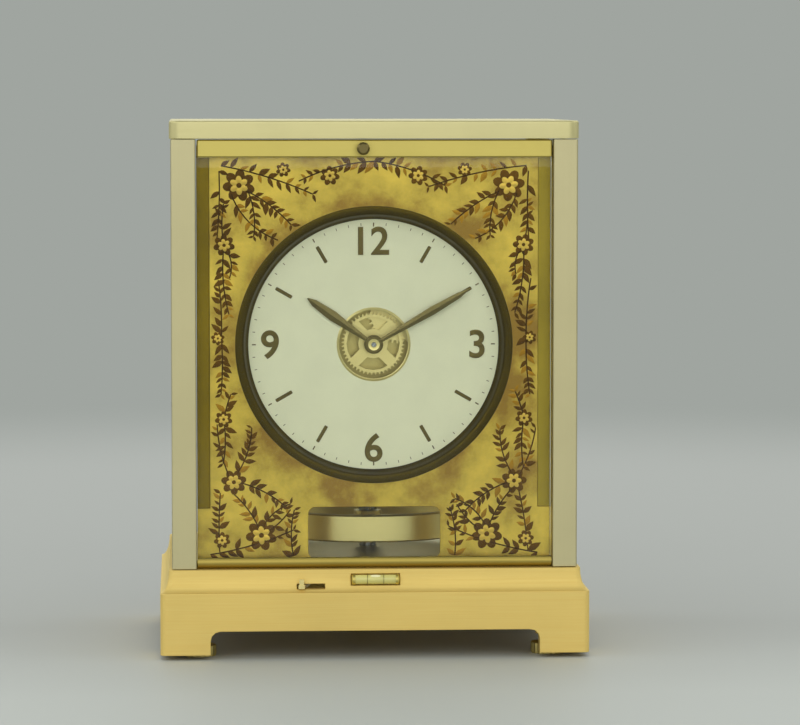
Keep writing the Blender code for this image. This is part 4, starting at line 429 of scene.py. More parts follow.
def refined(node, finish, edge=0.0, segments=2):
    """Stand a merged copy for a node, with smooth curved walls and softened edges if asked."""
    shape = bmesh.new()
    shape.from_mesh(frame["nodes"][node].data)
    bmesh.ops.remove_doubles(shape, verts=shape.verts, dist=WELD)
    bmesh.ops.dissolve_limit(shape, angle_limit=math.radians(FLAT), verts=shape.verts[:],
                             edges=shape.edges[:])
    if edge:
        sharp = [rim for rim in shape.edges
                 if rim.is_manifold and rim.calc_face_angle() > math.radians(SMOOTH)]
        soften(shape, sharp, edge, segments)
    made = add_piece(node + "_finished", shape, finish, body=body_of_node(node))
    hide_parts(node)
    return made


def polar(radius, degrees):
    angle = math.radians(degrees)
    return (radius * math.cos(angle), radius * math.sin(angle))


def put(shape, verts, matrix):
    """Turn the faces round the vertices of a solid outwards, and put it in place."""
    faces = {face for vert in verts for face in vert.link_faces}
    bmesh.ops.recalc_face_normals(shape, faces=list(faces))
    bmesh.ops.transform(shape, matrix=matrix, verts=verts)


def full_turn(shape, verts, edges, steps):
    """Spin a profile once round Z, and return the vertices of all that it sweeps."""
    before = set(shape.verts) - set(verts)
    bmesh.ops.spin(shape, geom=verts + edges, cent=(0, 0, 0), axis=(0, 0, 1), angle=math.tau,
                   steps=steps, use_merge=True)
    return [vert for vert in shape.verts if vert not in before]


def spun(shape, profile, matrix, steps=128, closed=True):
    """Spin a profile of (radius, height) points round Z, then put it in place."""
    verts = [shape.verts.new((radius, 0, height)) for radius, height in profile]
    pairs = list(zip(verts, verts[1:]))
    if closed:
        pairs.append((verts[-1], verts[0]))
    new = full_turn(shape, verts, [shape.edges.new(pair) for pair in pairs], steps)
    bmesh.ops.remove_doubles(shape, verts=new, dist=FINE_WELD)
    put(shape, [vert for vert in new if vert.is_valid], matrix)


def raised(shape, face, height):
    """Extrude a face upwards, and return the vertices and the faces of its top."""
    grown = bmesh.ops.extrude_face_region(shape, geom=[face], use_keep_orig=True)["geom"]
    top = [item for item in grown if isinstance(item, bmesh.types.BMVert)]
    bmesh.ops.translate(shape, vec=(0, 0, height), verts=top)
    return top, [item for item in grown if isinstance(item, bmesh.types.BMFace)]


def plate(shape, points, low, high, matrix, crown=0.0):
    """Extrude an outline drawn on XY, crown its top if asked, and put it in place."""
    verts = [shape.verts.new((x, y, low)) for x, y in points]
    face = shape.faces.new(verts)
    face.normal_update()
    if face.normal.z > 0:
        face.normal_flip()
    top, lid = raised(shape, face, high - low)
    verts += top
    if crown:
        peak = bmesh.ops.poke(shape, faces=lid, offset=0.0)["verts"]
        bmesh.ops.translate(shape, vec=(0, 0, crown), verts=peak)
        verts += peak
    put(shape, verts, matrix)


def bar(shape, low, high, matrix, edge=0.0):
    """A box from corner to corner, with softened edges if asked."""
    made = bmesh.ops.create_cube(shape, size=1.0)["verts"]
    size = [b - a for a, b in zip(low, high)]
    middle = [(a + b) / 2 for a, b in zip(low, high)]
    bmesh.ops.scale(shape, vec=size, verts=made)
    bmesh.ops.translate(shape, vec=middle, verts=made)
    if edge:
        rims = list({rim for vert in made for rim in vert.link_edges})
        made = soften(shape, rims, edge, 1)
    bmesh.ops.transform(shape, matrix=matrix, verts=made)


def screw_head(shape, radius, height, matrix):
    """A slotted cheese head: a disc with two raised halves either side of the slot."""
    ring = [polar(radius, 360 * step / SCREW_SIDES) for step in range(SCREW_SIDES)]
    plate(shape, ring, 0, height * 0.5, matrix)
    start = math.degrees(math.asin(SLOT_SHARE))
    for side in (0, 180):
        arc = [polar(radius * 0.98, side + start + (180 - 2 * start) * step / ARC_STEPS)
               for step in range(ARC_STEPS + 1)]
        plate(shape, arc, height * 0.45, height, matrix)


def mesh_of(drawn):
    """The mesh of a curve or a text, which is then removed."""
    holder = new_object(drawn.name, drawn)
    bpy.context.view_layer.update()
    seen = holder.evaluated_get(bpy.context.evaluated_depsgraph_get())
    mesh = bpy.data.meshes.new_from_object(seen)
    bpy.data.objects.remove(holder, do_unlink=True)
    bpy.data.curves.remove(drawn)
    return mesh


def take(shape, mesh):
    """Move a mesh's faces into a shape, welded."""
    shape.from_mesh(mesh)
    bmesh.ops.remove_doubles(shape, verts=shape.verts, dist=FINE_WELD)
    bpy.data.meshes.remove(mesh)


# Stage


class ClockStage(bpy.types.Operator):
    """Build the studio: floor, backdrop, lamps and camera"""
    bl_idname = "clock.stage"
    bl_label = "Studio"

    FLOOR_RADIUS = 6.0
    CAMERA_PLACE = (-0.080, -1.60, 0.235)
    CAMERA_AIM = (0.0142, 0.0, 0.1195)
    LENS = 166.1
    SIGHT = 50
    # name, place, size across, size up, radiance
    LAMPS = (
        ("front_lamp", (-0.3, -3.5, 1.6), 6.4, 3.2, 1.15),
        ("left_lamp", (-3.2, 0.0, 1.8), 3.6, 2.6, 1.1),
        ("right_lamp", (3.2, 0.0, 1.8), 3.6, 2.6, 1.0),
        ("rear_lamp", (0.0, 3.5, 2.0), 5.0, 2.6, 1.0),
    )
    LAMP_AIM = (0, 0, 0.11)
    FILL = 0.84
    # A ray that has met no dull surface has a diffuse depth below this
    UNLIT_DEPTH = 0.5
    # Painted light: the floor gets paler towards the front between these places on y
    PALE = (0.03, -0.16)
    # and turns into the backdrop between these distances from the clock
    SWEEP = (0.70, 1.25)

    def execute(self, context):
        self.floor()
        self.world(context)
        for lamp in self.LAMPS:
            self.lamp(*lamp)
        self.camera(context)
        context.scene.view_settings.view_transform = "Standard"
        return {"FINISHED"}

    def floor(self):
        """A floor that takes shadows near the clock and fades into the backdrop further out."""
        shape = bmesh.new()
        bmesh.ops.create_circle(shape, cap_ends=True, segments=96, radius=self.FLOOR_RADIUS)
        mesh = bpy.data.meshes.new("studio_floor")
        shape.to_mesh(mesh)
        shape.free()
        made, tree, shader = start_material("studio_floor", colours().floor, 0.0, 0.6)
        place = place_in_object(tree)
        split = add_node(tree, "SeparateXYZ", {"Vector": place})
        ahead = spread(tree, split.outputs["Y"], 0, 1, *self.PALE)
        paler = ramp(tree, ahead, [(0, colours().far_floor), (1, colours().floor)])
        feed(shader, {"Base Color": paler, "Specular IOR Level": 0.2})
        length = add_node(tree, "VectorMath", {0: place}, operation="LENGTH")
        away = spread(tree, length.outputs["Value"], 0, 1, *self.SWEEP,
                      interpolation_type="SMOOTHSTEP")
        glow = add_node(tree, "Emission", {"Color": (*colours().backdrop, 1)})
        mixed = add_node(tree, "MixShader", {
            "Fac": away, 1: shader.outputs["BSDF"], 2: glow.outputs["Emission"]})
        feed(tree.nodes["Material Output"], {"Surface": mixed.outputs["Shader"]})
        mesh.materials.append(made)
        floor = new_object("studio_floor", mesh)

    def world(self, context):
        """The backdrop's colour for what is seen or mirrored, and a pale fill for what is lit."""
        made = bpy.data.worlds.new("studio")
        made.use_nodes = True
        context.scene.world = made
        tree = made.node_tree
        tree.nodes.clear()
        path = add_node(tree, "LightPath", {}).outputs
        seen = combined(tree, "MAXIMUM", path["Is Camera Ray"], path["Is Glossy Ray"])
        through = combined(tree, "MAXIMUM", seen, path["Is Transmission Ray"])
        unlit = combined(tree, "LESS_THAN", path["Diffuse Depth"], self.UNLIT_DEPTH)
        direct = combined(tree, "MULTIPLY", through, unlit)
        fill = add_node(tree, "Background", {"Color": (1, 1, 1, 1), "Strength": self.FILL})
        shown = add_node(tree, "Background", {"Color": (*colours().backdrop, 1)})
        mixed = add_node(tree, "MixShader", {
            "Fac": direct, 1: fill.outputs["Background"], 2: shown.outputs["Background"]})
        add_node(tree, "OutputWorld", {"Surface": mixed.outputs["Shader"]})

    def lamp(self, name, place, across, up, radiance):
        light = bpy.data.lights.new(name, "AREA")
        light.shape = "RECTANGLE"
        light.size = across
        light.size_y = up
        light.energy = radiance * across * up * math.pi
        self.stand(name, light, place, self.LAMP_AIM).visible_camera = False

    def camera(self, context):
        lens = bpy.data.cameras.new("camera")
        lens.lens = self.LENS
        lens.clip_end = self.SIGHT
        context.scene.camera = self.stand("camera", lens, self.CAMERA_PLACE, self.CAMERA_AIM)

    def stand(self, name, data, place, aim):
        """Put a lamp or the camera in its place, turned towards its aim."""
        made = new_object(name, data)
        made.location = place
        made.rotation_euler = (Vector(aim) - Vector(place)).to_track_quat("-Z", "Y").to_euler()
        return made


# Case


class ClockCase(bpy.types.Operator):
    """Finish the plinth, posts, slab, feet and door, with softened edges"""
    bl_idname = "clock.case"
    bl_label = "Case"

    def execute(self, context):
        soft = sizes().edge_softness
        refined("plinth", "gilt", soft)
        refined("top_slab", "slab", soft * 0.6)
        for post in ("post_front_left", "post_front_right", "post_rear_left", "post_rear_right"):
            refined(post, "post", soft * 0.5)
        refined("door_top_rail", "rail")
        refined("door_hinge_bar", "bar")
        for foot in ("levelling_foot_left", "levelling_foot_right", "rear_foot"):
            refined(foot, "movement", soft * 0.4, 1)
        refined("pull_knob", "hand")
        return {"FINISHED"}


class ClockGlass(bpy.types.Operator):
    """Give the door, the sides and the back their clear panes"""
    bl_idname = "clock.glass"
    bl_label = "Panes"

    def execute(self, context):
        for pane in ("front_glass", "side_glass_left", "side_glass_right", "rear_glass"):
            finish_node(pane, "glass")
        return {"FINISHED"}


class ClockLevel(bpy.types.Operator):
    """Build the cross level with its tube, caps and bubble, and finish the balance lock"""
    bl_idname = "clock.level"
    bl_label = "Level and lock"

    # Shares of the level's half length: a cap's length, and where a mark stands
    CAP_SHARE = 0.15
    MARK_SHARE = 0.34
    # The tube's radius as a share of the caps' radius
    TUBE_SHARE = 0.9
    MARK_HALF = 0.0001
    ROUND_STEPS = 40

    def execute(self, context):
        middle = middle_of("level_vial")
        half, _, radius = half_of("level_vial")
        inside = half * (1 - self.CAP_SHARE)
        across = Matrix.Translation(middle) @ turned(90, "Y")
        shoulder = half * (1 - self.CAP_SHARE * 0.3)
        cap = ((0, half), (radius * 0.8, half), (radius, shoulder), (radius, inside), (0, inside))
        shape = bmesh.new()
        for side in (-1, 1):
            spun(shape, [(reach, side * place) for reach, place in cap], across,
                 self.ROUND_STEPS, False)
        caps = add_piece("level_caps", shape, "rail")
        shape = bmesh.new()
        thin = radius * self.TUBE_SHARE
        spun(shape, [(0, inside), (thin, inside), (thin, -inside), (0, -inside)], across,
             self.ROUND_STEPS, False)
        vial = add_piece("level_tube", shape, "vial")
        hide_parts("level_vial")
        shape = bmesh.new()
        bubble = bmesh.ops.create_uvsphere(shape, u_segments=20, v_segments=12, radius=1)["verts"]
        bmesh.ops.scale(shape, vec=(half * 0.26, radius * 0.5, radius * 0.34), verts=bubble)
        place = middle + Vector((0, -radius * 0.3, radius * 0.62))
        bmesh.ops.translate(shape, vec=place, verts=bubble)
        made = add_piece("level_bubble", shape, "bubble")
        shape = bmesh.new()
        inner, outer = thin - self.MARK_HALF, thin + self.MARK_HALF
        for side in (-1, 1):
            mark = side * half * self.MARK_SHARE
            left, right = mark - self.MARK_HALF, mark + self.MARK_HALF
            spun(shape, [(inner, left), (outer, left), (outer, right), (inner, right)], across,
                 self.ROUND_STEPS)
        made = add_piece("level_marks", shape, "hand")
        finish_node("lock_lever", "wheel")
        refined("lock_collar", "steel")
        return {"FINISHED"}


# Panel ornament


class ClockPanel(bpy.types.Operator):
    """Lacquer the front panel and raise sprays of leaves and blossoms on it"""
    bl_idname = "clock.panel"
    bl_label = "Front panel"

    # The set-back borders, coloured dark as painted shade, lie beyond this half width, between
    # these heights
    BORDER_HALF = 0.0690
    BORDER_BOTTOM = 0.0625
    BORDER_TOP = 0.2112
    WINDOW_HALF = 0.0290
    WINDOW_TOP = 0.0640
    EDGE_SOFTNESS = 0.00018
    # Ornament stays this far inside the panel's edges, and this far below its top
    RIM = 0.0012
    TOP_RIM = 0.0038
    STEM_MARGIN = 0.0004
    TIP_MARGIN = 0.0003
    STEM_STEPS = 10
    SEED = 11
    # Least and most: degrees between leaf and stem, a leaf's length as a share of the largest,
    # and its width as a share of its length
    LEANS = (32, 66)
    LENGTHS = (0.62, 1.0)
    WIDTHS = (0.36, 0.5)
    # How much smaller leaves are at the stem's tip, and how many of them are pale
    TAPER = 0.4
    PALE_SHARE = 0.3
    # Shares of a leaf's length: where its middle is, the room it takes, and what it keeps free
    MIDDLE = 0.55
    ROOM = 0.2
    FREE = 0.27
    # Blossoms of the right half: place and radius
    BLOSSOMS = (
        (0.0565, 0.1980, 0.0066), (0.0628, 0.1730, 0.0044), (0.0590, 0.0735, 0.0052),
        (0.0475, 0.0510, 0.0064), (0.0632, 0.1000, 0.0036), (0.0185, 0.2020, 0.0040),
        (0.0655, 0.1340, 0.0028), (0.0640, 0.0490, 0.0034), (0.0380, 0.2045, 0.0030))
    # Stems of the right half: x and z of the root, heading, length and bend
    STEMS = (
        (0.0640, 0.2062, 188, 0.044, 14), (0.0550, 0.2000, 236, 0.026, 40),
        (0.0648, 0.2040, 266, 0.030, 8), (0.0600, 0.1950, 252, 0.030, -52),
        (0.0548, 0.1965, 205, 0.030, 24), (0.0628, 0.1730, 272, 0.030, -22),
        (0.0628, 0.1730, 76, 0.018, 20), (0.0628, 0.1725, 232, 0.014, 60),
        (0.0000, 0.2080, 352, 0.034, -24), (0.0640, 0.1340, 94, 0.024, -10),
        (0.0640, 0.1340, 266, 0.024, 10), (0.0632, 0.1000, 262, 0.020, 20),
        (0.0632, 0.1000, 100, 0.012, 10), (0.0650, 0.0440, 92, 0.026, 8),
        (0.0600, 0.0740, 128, 0.024, -40), (0.0600, 0.0740, 196, 0.028, 34),
        (0.0690, 0.0430, 168, 0.040, -16), (0.0480, 0.0520, 112, 0.020, 52),
        (0.0470, 0.0500, 70, 0.024, -30), (0.0340, 0.0420, 84, 0.022, 26),
        (0.0600, 0.0740, 62, 0.024, 24), (0.0475, 0.0510, 150, 0.018, -30))

    def execute(self, context):
        self.plate()
        chance = random.Random(self.SEED)
        dark, gilt, pale = bmesh.new(), bmesh.new(), bmesh.new()
        stems = []
        for side in (-1, 1):
            taken = list(self.BLOSSOMS)
            for x, z, radius in self.BLOSSOMS:
                self.blossom(dark, gilt, (side * x, z), radius, chance.uniform(0, 72))
            for x, z, heading, length, bend in self.STEMS:
                stems.append(self.spray(
                    dark, pale, side, x, z, heading + chance.uniform(-5, 5),
                    length * chance.uniform(0.9, 1.05), bend, taken, chance))
        ornament = (("panel_leaves", dark, "leaf"), ("panel_blossoms", gilt, "blossom"),
                    ("panel_sprigs", pale, "sprig"))
        for name, shape, finish in ornament:
            made = add_piece(name, shape, finish, 50)
        made = self.stems([points for points in stems if len(points) > 1])
        return {"FINISHED"}

    def plate(self):
        """The panel with softened rims, and its set-back side borders coloured dark as painted
        shade, the left darker than the right.
        """
        made = refined("decor_panel", "panel", self.EDGE_SOFTNESS, 1)
        made.data.materials.append(FINISHES["border"])
        made.data.materials.append(FINISHES["right_border"])
        for face in made.data.polygons:
            x, y, z = face.center
            beside = self.BORDER_BOTTOM < z < self.BORDER_TOP and abs(x) > self.BORDER_HALF
            set_back = -y < PANEL_FORWARD - GAP
            face.material_index = (1 if x < 0 else 2) if beside and set_back else 0

    def allowed(self, x, z, margin):
        """Whether a place on the panel is clear of its edges, the bezel and the window."""
        x = abs(x)
        return (math.hypot(x - DIAL_X, z - DIAL_Z) >= BEZEL_RADIUS - self.RIM + margin
                and PANEL_LOW.z + self.RIM + margin <= z <= PANEL_HIGH.z - self.TOP_RIM - margin
                and x <= PANEL_HIGH.x - self.RIM - margin
                and (z <= self.BORDER_BOTTOM - margin or x <= self.BORDER_HALF - margin)
                and (z >= self.WINDOW_TOP + margin or x >= self.WINDOW_HALF + margin))

    def spray(self, dark, pale, side, x, z, heading, length, bend, taken, chance):
        """Put leaves along a curved stem where there is room, and return the stem's points."""
        points = []
        for index in range(self.STEM_STEPS + 1):
            if not self.allowed(x, z, self.STEM_MARGIN):
                break
            points.append((side * x, -PANEL_FORWARD, z))
            grow = 1 - self.TAPER * index / self.STEM_STEPS
            for hand in (-1, 1):
                lean = heading + hand * chance.uniform(*self.LEANS)
                long = sizes().leaf_length * grow * chance.uniform(*self.LENGTHS)
                right, up = polar(long, lean)
                middle = (x + right * self.MIDDLE, z + up * self.MIDDLE)
                room = long * self.ROOM
                if (all(math.dist(middle, other) > radius + long * self.FREE
                        for *other, radius in taken)
                        and self.allowed(x + right, z + up, self.TIP_MARGIN)
                        and self.allowed(*middle, room)):
                    taken.append((*middle, room))
                    shape = pale if chance.random() < self.PALE_SHARE else dark
                    self.leaf(shape, (side * x, z), lean if side > 0 else 180 - lean, long,
                              long * chance.uniform(*self.WIDTHS))
            right, up = polar(length / self.STEM_STEPS, heading)
            x, z = x + right, z + up
            heading += bend / self.STEM_STEPS
        return points

    def stems(self, paths):
        """Round stems along lists of points, made one piece."""
        drawn = bpy.data.curves.new("panel_stems", "CURVE")
        drawn.dimensions = "3D"
        drawn.bevel_depth = sizes().stem_radius
        drawn.bevel_resolution = 1
        drawn.use_fill_caps = True
        for points in paths:
            spline = drawn.splines.new("POLY")
            spline.points.add(len(points) - 1)
            for target, point in zip(spline.points, points):
                target.co = (*point, 1)
        shape = bmesh.new()
        take(shape, mesh_of(drawn))
        bmesh.ops.recalc_face_normals(shape, faces=shape.faces)
        return add_piece("panel_stems", shape, "leaf", 60)

    def leaf(self, shape, root, heading, length, width):
        half = width / 2
        side = [(length * 0.2, half * 0.72), (length * 0.42, half), (length * 0.7, half * 0.66)]
        outline = [(0, 0), *((x, -y) for x, y in side), (length, 0), *reversed(side)]
        rise = sizes().leaf_relief
        plate(shape, outline, -rise, rise * 0.4, facing(*root, PANEL_FORWARD, heading), rise * 0.6)

    def blossom(self, dark, gilt, centre, radius, turn):
        """Two rings of round petals about a small boss."""
        rise = sizes().leaf_relief
        for shape, count, distance, long, wide, top in (
                (dark, 7, 0.62, 0.42, 0.31, 0.3), (gilt, 6, 0.34, 0.27, 0.19, 0.9)):
            for index in range(count):
                petal = [(radius * (distance + long * x), radius * wide * y)
                         for x, y in (polar(1, 30 * step) for step in range(12))]
                plate(shape, petal, -rise, rise * top,
                      facing(*centre, PANEL_FORWARD, turn + 360 * index / count), rise * 0.6)
        boss = [polar(radius * 0.17, 36 * step) for step in range(10)]
        plate(dark, boss, -rise, rise * 1.3, facing(*centre, PANEL_FORWARD), rise * 0.4)


# Dial


class ClockDial(bpy.types.Operator):
    """Finish the bezel and dial, with numerals, batons, minute track and a gilt inner rim"""
    bl_idname = "clock.dial"
    bl_label = "Dial"

    APERTURE_RADIUS = 0.0145
    # How much longer and wider every fifth tick is
    FIFTH_TICK = (1.5, 1.8)
    # Height of a numeral as a share of its font's size, and what is added all round it
    CAPITAL_SHARE = 0.72
    NUMERAL_WEIGHT = 0.00022
    # Bezel profile as (radius, forward), from the outer front edge round to the inner lip
    BEZEL = (
        (0.0583, 0.0561), (0.0582, 0.0564), (0.0577, 0.0566), (0.0556, 0.0566),
        (0.0550, 0.0563), (0.0546, 0.0556), (0.0541, 0.0540), (0.0536, 0.0531),
        (0.0531, 0.0524), (0.0527, 0.0519), (0.0527, 0.0518), (0.0553, 0.0518),
        (0.0553, 0.0495), (0.0572, 0.0495), (0.0572, 0.0528), (0.0597, 0.0528),
        (0.0597, 0.0542), (0.0572, 0.0542), (0.0572, 0.0561))

    def execute(self, context):
        shape = bmesh.new()
        spun(shape, self.BEZEL, DIAL_AXIS, 180)
        # The bezel's dark finish is painted shade of the gap round the dial
        ring = add_piece("bezel_ring", shape, "bezel", 40)
        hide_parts("dial_bezel")
        self.face()
        self.inner_rim()
        self.markings()
        self.numerals()
        return {"FINISHED"}

    def face(self):
        """The enamelled disc, whose back, rim and feet are left as brass."""
        made = refined("dial", "dial")
        made.data.materials.append(FINISHES["movement"])
        for side in made.data.polygons:
            side.material_index = 0 if side.normal.y < -0.5 else 1

    def inner_rim(self):
        inner = self.APERTURE_RADIUS
        outer = inner + sizes().rim_width
        low = DIAL_FORWARD - GAP
        high = DIAL_FORWARD + GAP
        shape = bmesh.new()
        spun(shape, [(inner, low), (inner, high), (inner + GAP, high + GAP / 2),
                     (outer, DIAL_FORWARD), (outer, low)], DIAL_AXIS, 96)
        rim = add_piece("dial_inner_rim", shape, "wheel")

    def markings(self):
        """Batons at the hours without a numeral, and the ticks of the minute track."""
        shape = bmesh.new()
        half = sizes().baton_length / 2
        wide = sizes().baton_width / 2
        middle = sizes().numeral_circle
        for hour in range(HOURS):
            if hour % 3:
                bar(shape, (middle - half, -wide, -GAP),
                    (middle + half, wide, sizes().numeral_relief),
                    facing(DIAL_X, DIAL_Z, DIAL_FORWARD, 90 - hour * 360 / HOURS), wide * 0.35)
        outer = sizes().tick_circle
        for minute in range(MINUTES):
            longer, wider = (1, 1) if minute % 5 else self.FIFTH_TICK
            long = sizes().tick_length * longer
            width = sizes().tick_width * wider / 2
            bar(shape, (outer - long, -width, -GAP / 2), (outer, width, GAP / 4),
                facing(DIAL_X, DIAL_Z, DIAL_FORWARD, minute * 360 / MINUTES))
        made = add_piece("dial_batons", shape, "marking")

    def numerals(self):
        shape = bmesh.new()
        for hour in (12, 3, 6, 9):
            right, up = polar(sizes().numeral_circle, 90 - hour * 360 / HOURS)
            self.numeral(shape, str(hour), (DIAL_X + right, DIAL_Z + up))
        made = add_piece("dial_numerals", shape, "marking")

    def numeral(self, shape, text, place):
        """Raise a number on the dial, centred on its place."""
        drawn = bpy.data.curves.new("numeral_" + text, "FONT")
        drawn.body = text
        drawn.size = sizes().numeral_height / self.CAPITAL_SHARE
        drawn.align_x = "CENTER"
        drawn.align_y = "CENTER"
        drawn.extrude = sizes().numeral_relief * 0.75
        drawn.bevel_depth = sizes().numeral_relief * 0.25
        drawn.bevel_resolution = 1
        drawn.offset = self.NUMERAL_WEIGHT
        mesh = mesh_of(drawn)
        xs = [vert.co.x for vert in mesh.vertices]
        ys = [vert.co.y for vert in mesh.vertices]
        centred = Matrix.Translation((-(min(xs) + max(xs)) / 2, -(min(ys) + max(ys)) / 2, 0))
        mesh.transform(facing(*place, DIAL_FORWARD) @ centred)
        take(shape, mesh)


class ClockHands(bpy.types.Operator):
    """Build the two hands with a raised middle line, and the nut that holds them"""
    bl_idname = "clock.hands"
    bl_label = "Hands"

    # node, angle on the dial, length, width, radius of the boss and of its bore
    HANDS = (("hour_hand", 145, 0.034, 0.0044, 0.0040, 0.0022),
             ("minute_hand", 30, 0.046, 0.0036, 0.0036, 0.0012))
    # A hand's two flanks are nearly level, so only a small angle keeps its middle line sharp
    HAND_SMOOTH = 8
    # Half widths of a blade at its two ends
    ROOT_HALF = 0.0008
    TIP_HALF = 0.0002
    # Radii of the nut: bore, foot and top, and how far the arbor stands out of it
    NUT = (0.0011, 0.0024, 0.0018)
    ARBOR_TIP = 0.0001

    def execute(self, context):
        for node, *measures in self.HANDS:
            low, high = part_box(node)
            self.hand(node, *measures, -high.y, -low.y)
        foot = -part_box("minute_hand")[0].y
        top = -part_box("centre_arbor")[0].y - self.ARBOR_TIP
        bore, wide, narrow = self.NUT
        shape = bmesh.new()
        spun(shape, [(bore, foot), (wide, foot), (wide, foot + GAP), (narrow, top), (bore, top)],
             DIAL_AXIS, 40)
        nut = add_piece("hand_nut", shape, "wheel", body=body_of_node("minute_hand"))
        return {"FINISHED"}

    def hand(self, node, angle, length, width, boss, bore, low, high):
        """Half a blade is drawn, raised along its middle line, and mirrored."""
        shape = bmesh.new()
        points = [(boss * 0.8, 0), (boss * 0.8, self.ROOT_HALF), (length * 0.62, width / 2),
                  (length * 0.9, width * 0.34), (length, self.TIP_HALF), (length, 0),
                  (length * 0.9, 0), (length * 0.62, 0)]
        face = shape.faces.new([shape.verts.new((x, y, 0)) for x, y in points])
        thick = high - low
        top, _ = raised(shape, face, thick * 0.6)
        ridge = [vert for vert in top if abs(vert.co.y) < FINE_WELD]
        bmesh.ops.translate(shape, vec=(0, 0, thick * 0.4), verts=ridge)
        inner = [made for made in shape.faces
                 if all(abs(vert.co.y) < FINE_WELD for vert in made.verts)]
        bmesh.ops.delete(shape, geom=inner, context="FACES_ONLY")
        bmesh.ops.mirror(shape, geom=shape.verts[:] + shape.edges[:] + shape.faces[:],
                         matrix=Matrix.Identity(4), merge_dist=FINE_WELD, axis="Y")
        bmesh.ops.recalc_face_normals(shape, faces=shape.faces)
        place = facing(DIAL_X, DIAL_Z, low)
        bmesh.ops.transform(shape, matrix=place @ turned(angle), verts=shape.verts)
        spun(shape, [(bore, 0), (bore, thick * 0.8), (bore + GAP, thick), (boss - GAP, thick),
                     (boss, thick * 0.7), (boss, 0)], place, 64)
        made = add_piece(node + "_blade", shape, "hand", self.HAND_SMOOTH, body_of_node(node))
        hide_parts(node)


# Movement


class ClockMovement(bpy.types.Operator):
    """Finish the plates, train, escapement and suspension, and add the plates' screws"""
    bl_idname = "clock.movement"
    bl_label = "Movement"

    FINISHED_NODES = {
        "movement": ("front_plate", "back_plate", "pallet_cock", "suspension_bracket",
                     "movement_platform", "base_deck"),
        "wheel": ("hour_wheel", "minute_wheel", "centre_wheel", "intermediate_wheel",
                  "escape_wheel", "barrel", "winding_pulley", "guide_roller"),
        "steel": ("centre_arbor", "cannon_pinion", "barrel_arbor", "click", "pallet_fork",
                  "regulator_lever"),
    }
    # Outer faces of the two plates, counted forward
    PLATE_FRONT = 0.041
    PLATE_BACK = 0.013

    def execute(self, context):
        for finish, nodes in self.FINISHED_NODES.items():
            for node in nodes:
                finish_node(node, finish)
        for node in COLUMNS + PILLARS:
            refined(node, "wheel")
        for node in ("suspension_block", "balance_staff"):
            refined(node, "steel")
        self.screws()
        return {"FINISHED"}

    def screws(self):
        """Slotted heads on the pillars and columns, each slot at another angle."""
        shape = bmesh.new()
        radius = sizes().screw_radius
        height = radius * 0.55
        for index, node in enumerate(PILLARS):
            x, _, z = middle_of(node)
            screw_head(shape, radius, height, facing(x, z, self.PLATE_FRONT, 20 + 47 * index))
            screw_head(shape, radius, height, Matrix.Translation((x, -self.PLATE_BACK, z))
                       @ turned(-90, "X") @ turned(65 * index))
        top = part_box("movement_platform")[1].z
        for index, node in enumerate(COLUMNS):
            x, y, _ = middle_of(node)
            screw_head(shape, radius * 1.1, height,
                       Matrix.Translation((x, y, top)) @ turned(33 + 51 * index))
        made = add_piece("movement_screws", shape, "steel", 30)


class ClockBalance(bpy.types.Operator):
    """Finish the balance ring with smooth walls"""
    bl_idname = "clock.balance"
    bl_label = "Balance"

    def execute(self, context):
        refined("balance_ring", "wheel")
        return {"FINISHED"}


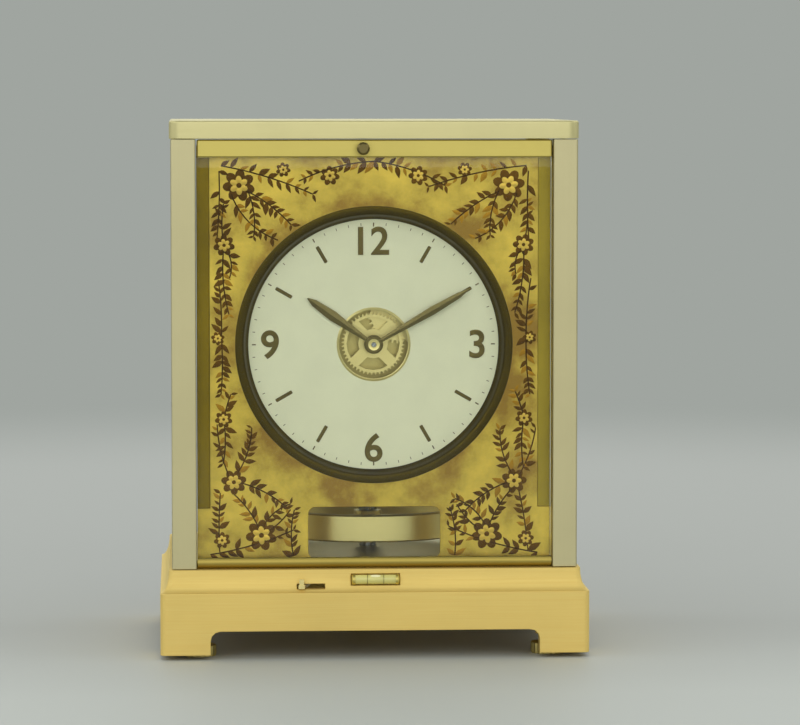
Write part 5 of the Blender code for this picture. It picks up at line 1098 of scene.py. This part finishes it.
class ClockDrum(bpy.types.Operator):
    """Finish the drum, its cap, the bellows, the spring and the winding chain"""
    bl_idname = "clock.drum"
    bl_label = "Drum and bellows"

    BELLOWS_TRAVEL = 0.003
    CAP_WAVES = 4
    WAVE_DEPTH = 0.0010
    WAVE_STEPS = 10
    CHAIN_HALF = 0.0005
    BEND_STEPS = 8
    LINK_PITCH = 0.00155
    LINK_HALF_LENGTH = 0.0011
    LINK_HALF_WIDTH = 0.00055
    LINK_WIRE = 0.00022
    LINK_STEPS = 10
    WIRE_SIDES = 5

    def execute(self, context):
        refined("drum_shell", "drum")
        self.cap()
        refined("bellows", "nickel")
        self.give(refined("compensation_spring", "steel"), "compensation_spring")
        self.chain()
        return {"FINISHED"}

    def give(self, piece, node):
        """Give a piece a mesh of its own."""
        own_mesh(piece)

    def cap(self):
        """The plate that closes the drum, with concentric waves pressed into its back."""
        low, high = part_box("drum_cap")
        radius = (high.x - low.x) / 2
        front, back = -low.y, -high.y
        profile = [(0, front), (radius, front)]
        steps = self.CAP_WAVES * self.WAVE_STEPS
        for index in range(steps, -1, -1):
            wave = 1 - math.cos(math.tau * index / self.WAVE_STEPS)
            profile.append((radius * index / steps, back + self.WAVE_DEPTH * wave / 2))
        shape = bmesh.new()
        spun(shape, profile, DIAL_AXIS, closed=False)
        made = add_piece("drum_cap_waved", shape, "drum")
        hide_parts("drum_cap")

    def route(self):
        """Centre line of the chain: from the bellows forward, round the roller and down."""
        low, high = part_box("winding_chain")
        x = (low.x + high.x) / 2
        top = high.z - self.CHAIN_HALF
        front = low.y + self.CHAIN_HALF
        bend = half_of("guide_roller").z + self.CHAIN_HALF + GAP
        points = [(high.y, top)]
        for step in range(self.BEND_STEPS + 1):
            up, forward = polar(bend, 90 * step / self.BEND_STEPS)
            points.append((front + bend - forward, top - bend + up))
        points.append((front, low.z))
        return [Vector((x, y, z)) for y, z in points]

    def chain(self):
        """Oval links, each a quarter turn from the last, spaced along the route."""
        points = self.route()
        shape = bmesh.new()
        distance = self.LINK_HALF_LENGTH
        index = 0
        travelled = 0.0
        for start, end in zip(points, points[1:]):
            length = (end - start).length
            while distance <= travelled + length:
                place = start.lerp(end, (distance - travelled) / length)
                along = (end - start).to_track_quat("X", "Z").to_matrix().to_4x4()
                self.link(shape, Matrix.Translation(place) @ along @ turned(90 * (index % 2), "X"))
                index += 1
                distance += self.LINK_PITCH
            travelled += length
        made = add_piece("chain_links", shape, "steel", 60)
        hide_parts("winding_chain")
        self.give(made, "winding_chain")

    def link(self, shape, matrix):
        """An oval ring of round wire."""
        ring = bmesh.ops.create_circle(
            shape, segments=self.WIRE_SIDES, radius=self.LINK_WIRE)["verts"]
        aside = Matrix.Translation((self.LINK_HALF_WIDTH, 0, 0)) @ turned(90, "X")
        bmesh.ops.transform(shape, matrix=aside, verts=ring)
        edges = list({edge for vert in ring for edge in vert.link_edges})
        new = full_turn(shape, ring, edges, self.LINK_STEPS)
        for vert in new:
            reach = max(-1.0, min(1.0, vert.co.x / self.LINK_HALF_WIDTH))
            vert.co.x += (self.LINK_HALF_LENGTH - self.LINK_HALF_WIDTH) * reach
        put(shape, new, matrix)


class ClockPanelUi(bpy.types.Panel):
    """Lists the steps that dress the clock"""
    bl_idname = "VIEW3D_PT_clock"
    bl_label = "Mantel clock"
    bl_space_type = "VIEW_3D"
    bl_region_type = "UI"
    bl_category = "Clock"

    def draw(self, context):
        column = self.layout.column(align=True)
        for operator in OPERATORS:
            column.operator(operator.bl_idname)
        for group in (sizes(), colours()):
            box = self.layout.box()
            for name in group.__annotations__:
                box.prop(group, name)


OPERATORS = (ClockStage, ClockCase, ClockGlass, ClockLevel, ClockPanel, ClockDial, ClockHands,
             ClockMovement, ClockBalance, ClockDrum)
CLASSES = (ClockColours, ClockSizes, *OPERATORS, ClockPanelUi)


def register():
    for made in CLASSES:
        bpy.utils.register_class(made)
    bpy.types.Scene.clock_colours = PointerProperty(type=ClockColours)
    bpy.types.Scene.clock_sizes = PointerProperty(type=ClockSizes)


def unregister():
    del bpy.types.Scene.clock_sizes
    del bpy.types.Scene.clock_colours
    for made in reversed(CLASSES):
        bpy.utils.unregister_class(made)


def main():
    register()
    make_finishes()
    for operator in OPERATORS:
        getattr(bpy.ops.clock, operator.bl_idname.split(".")[1])()


if __name__ == "__main__":
    main()
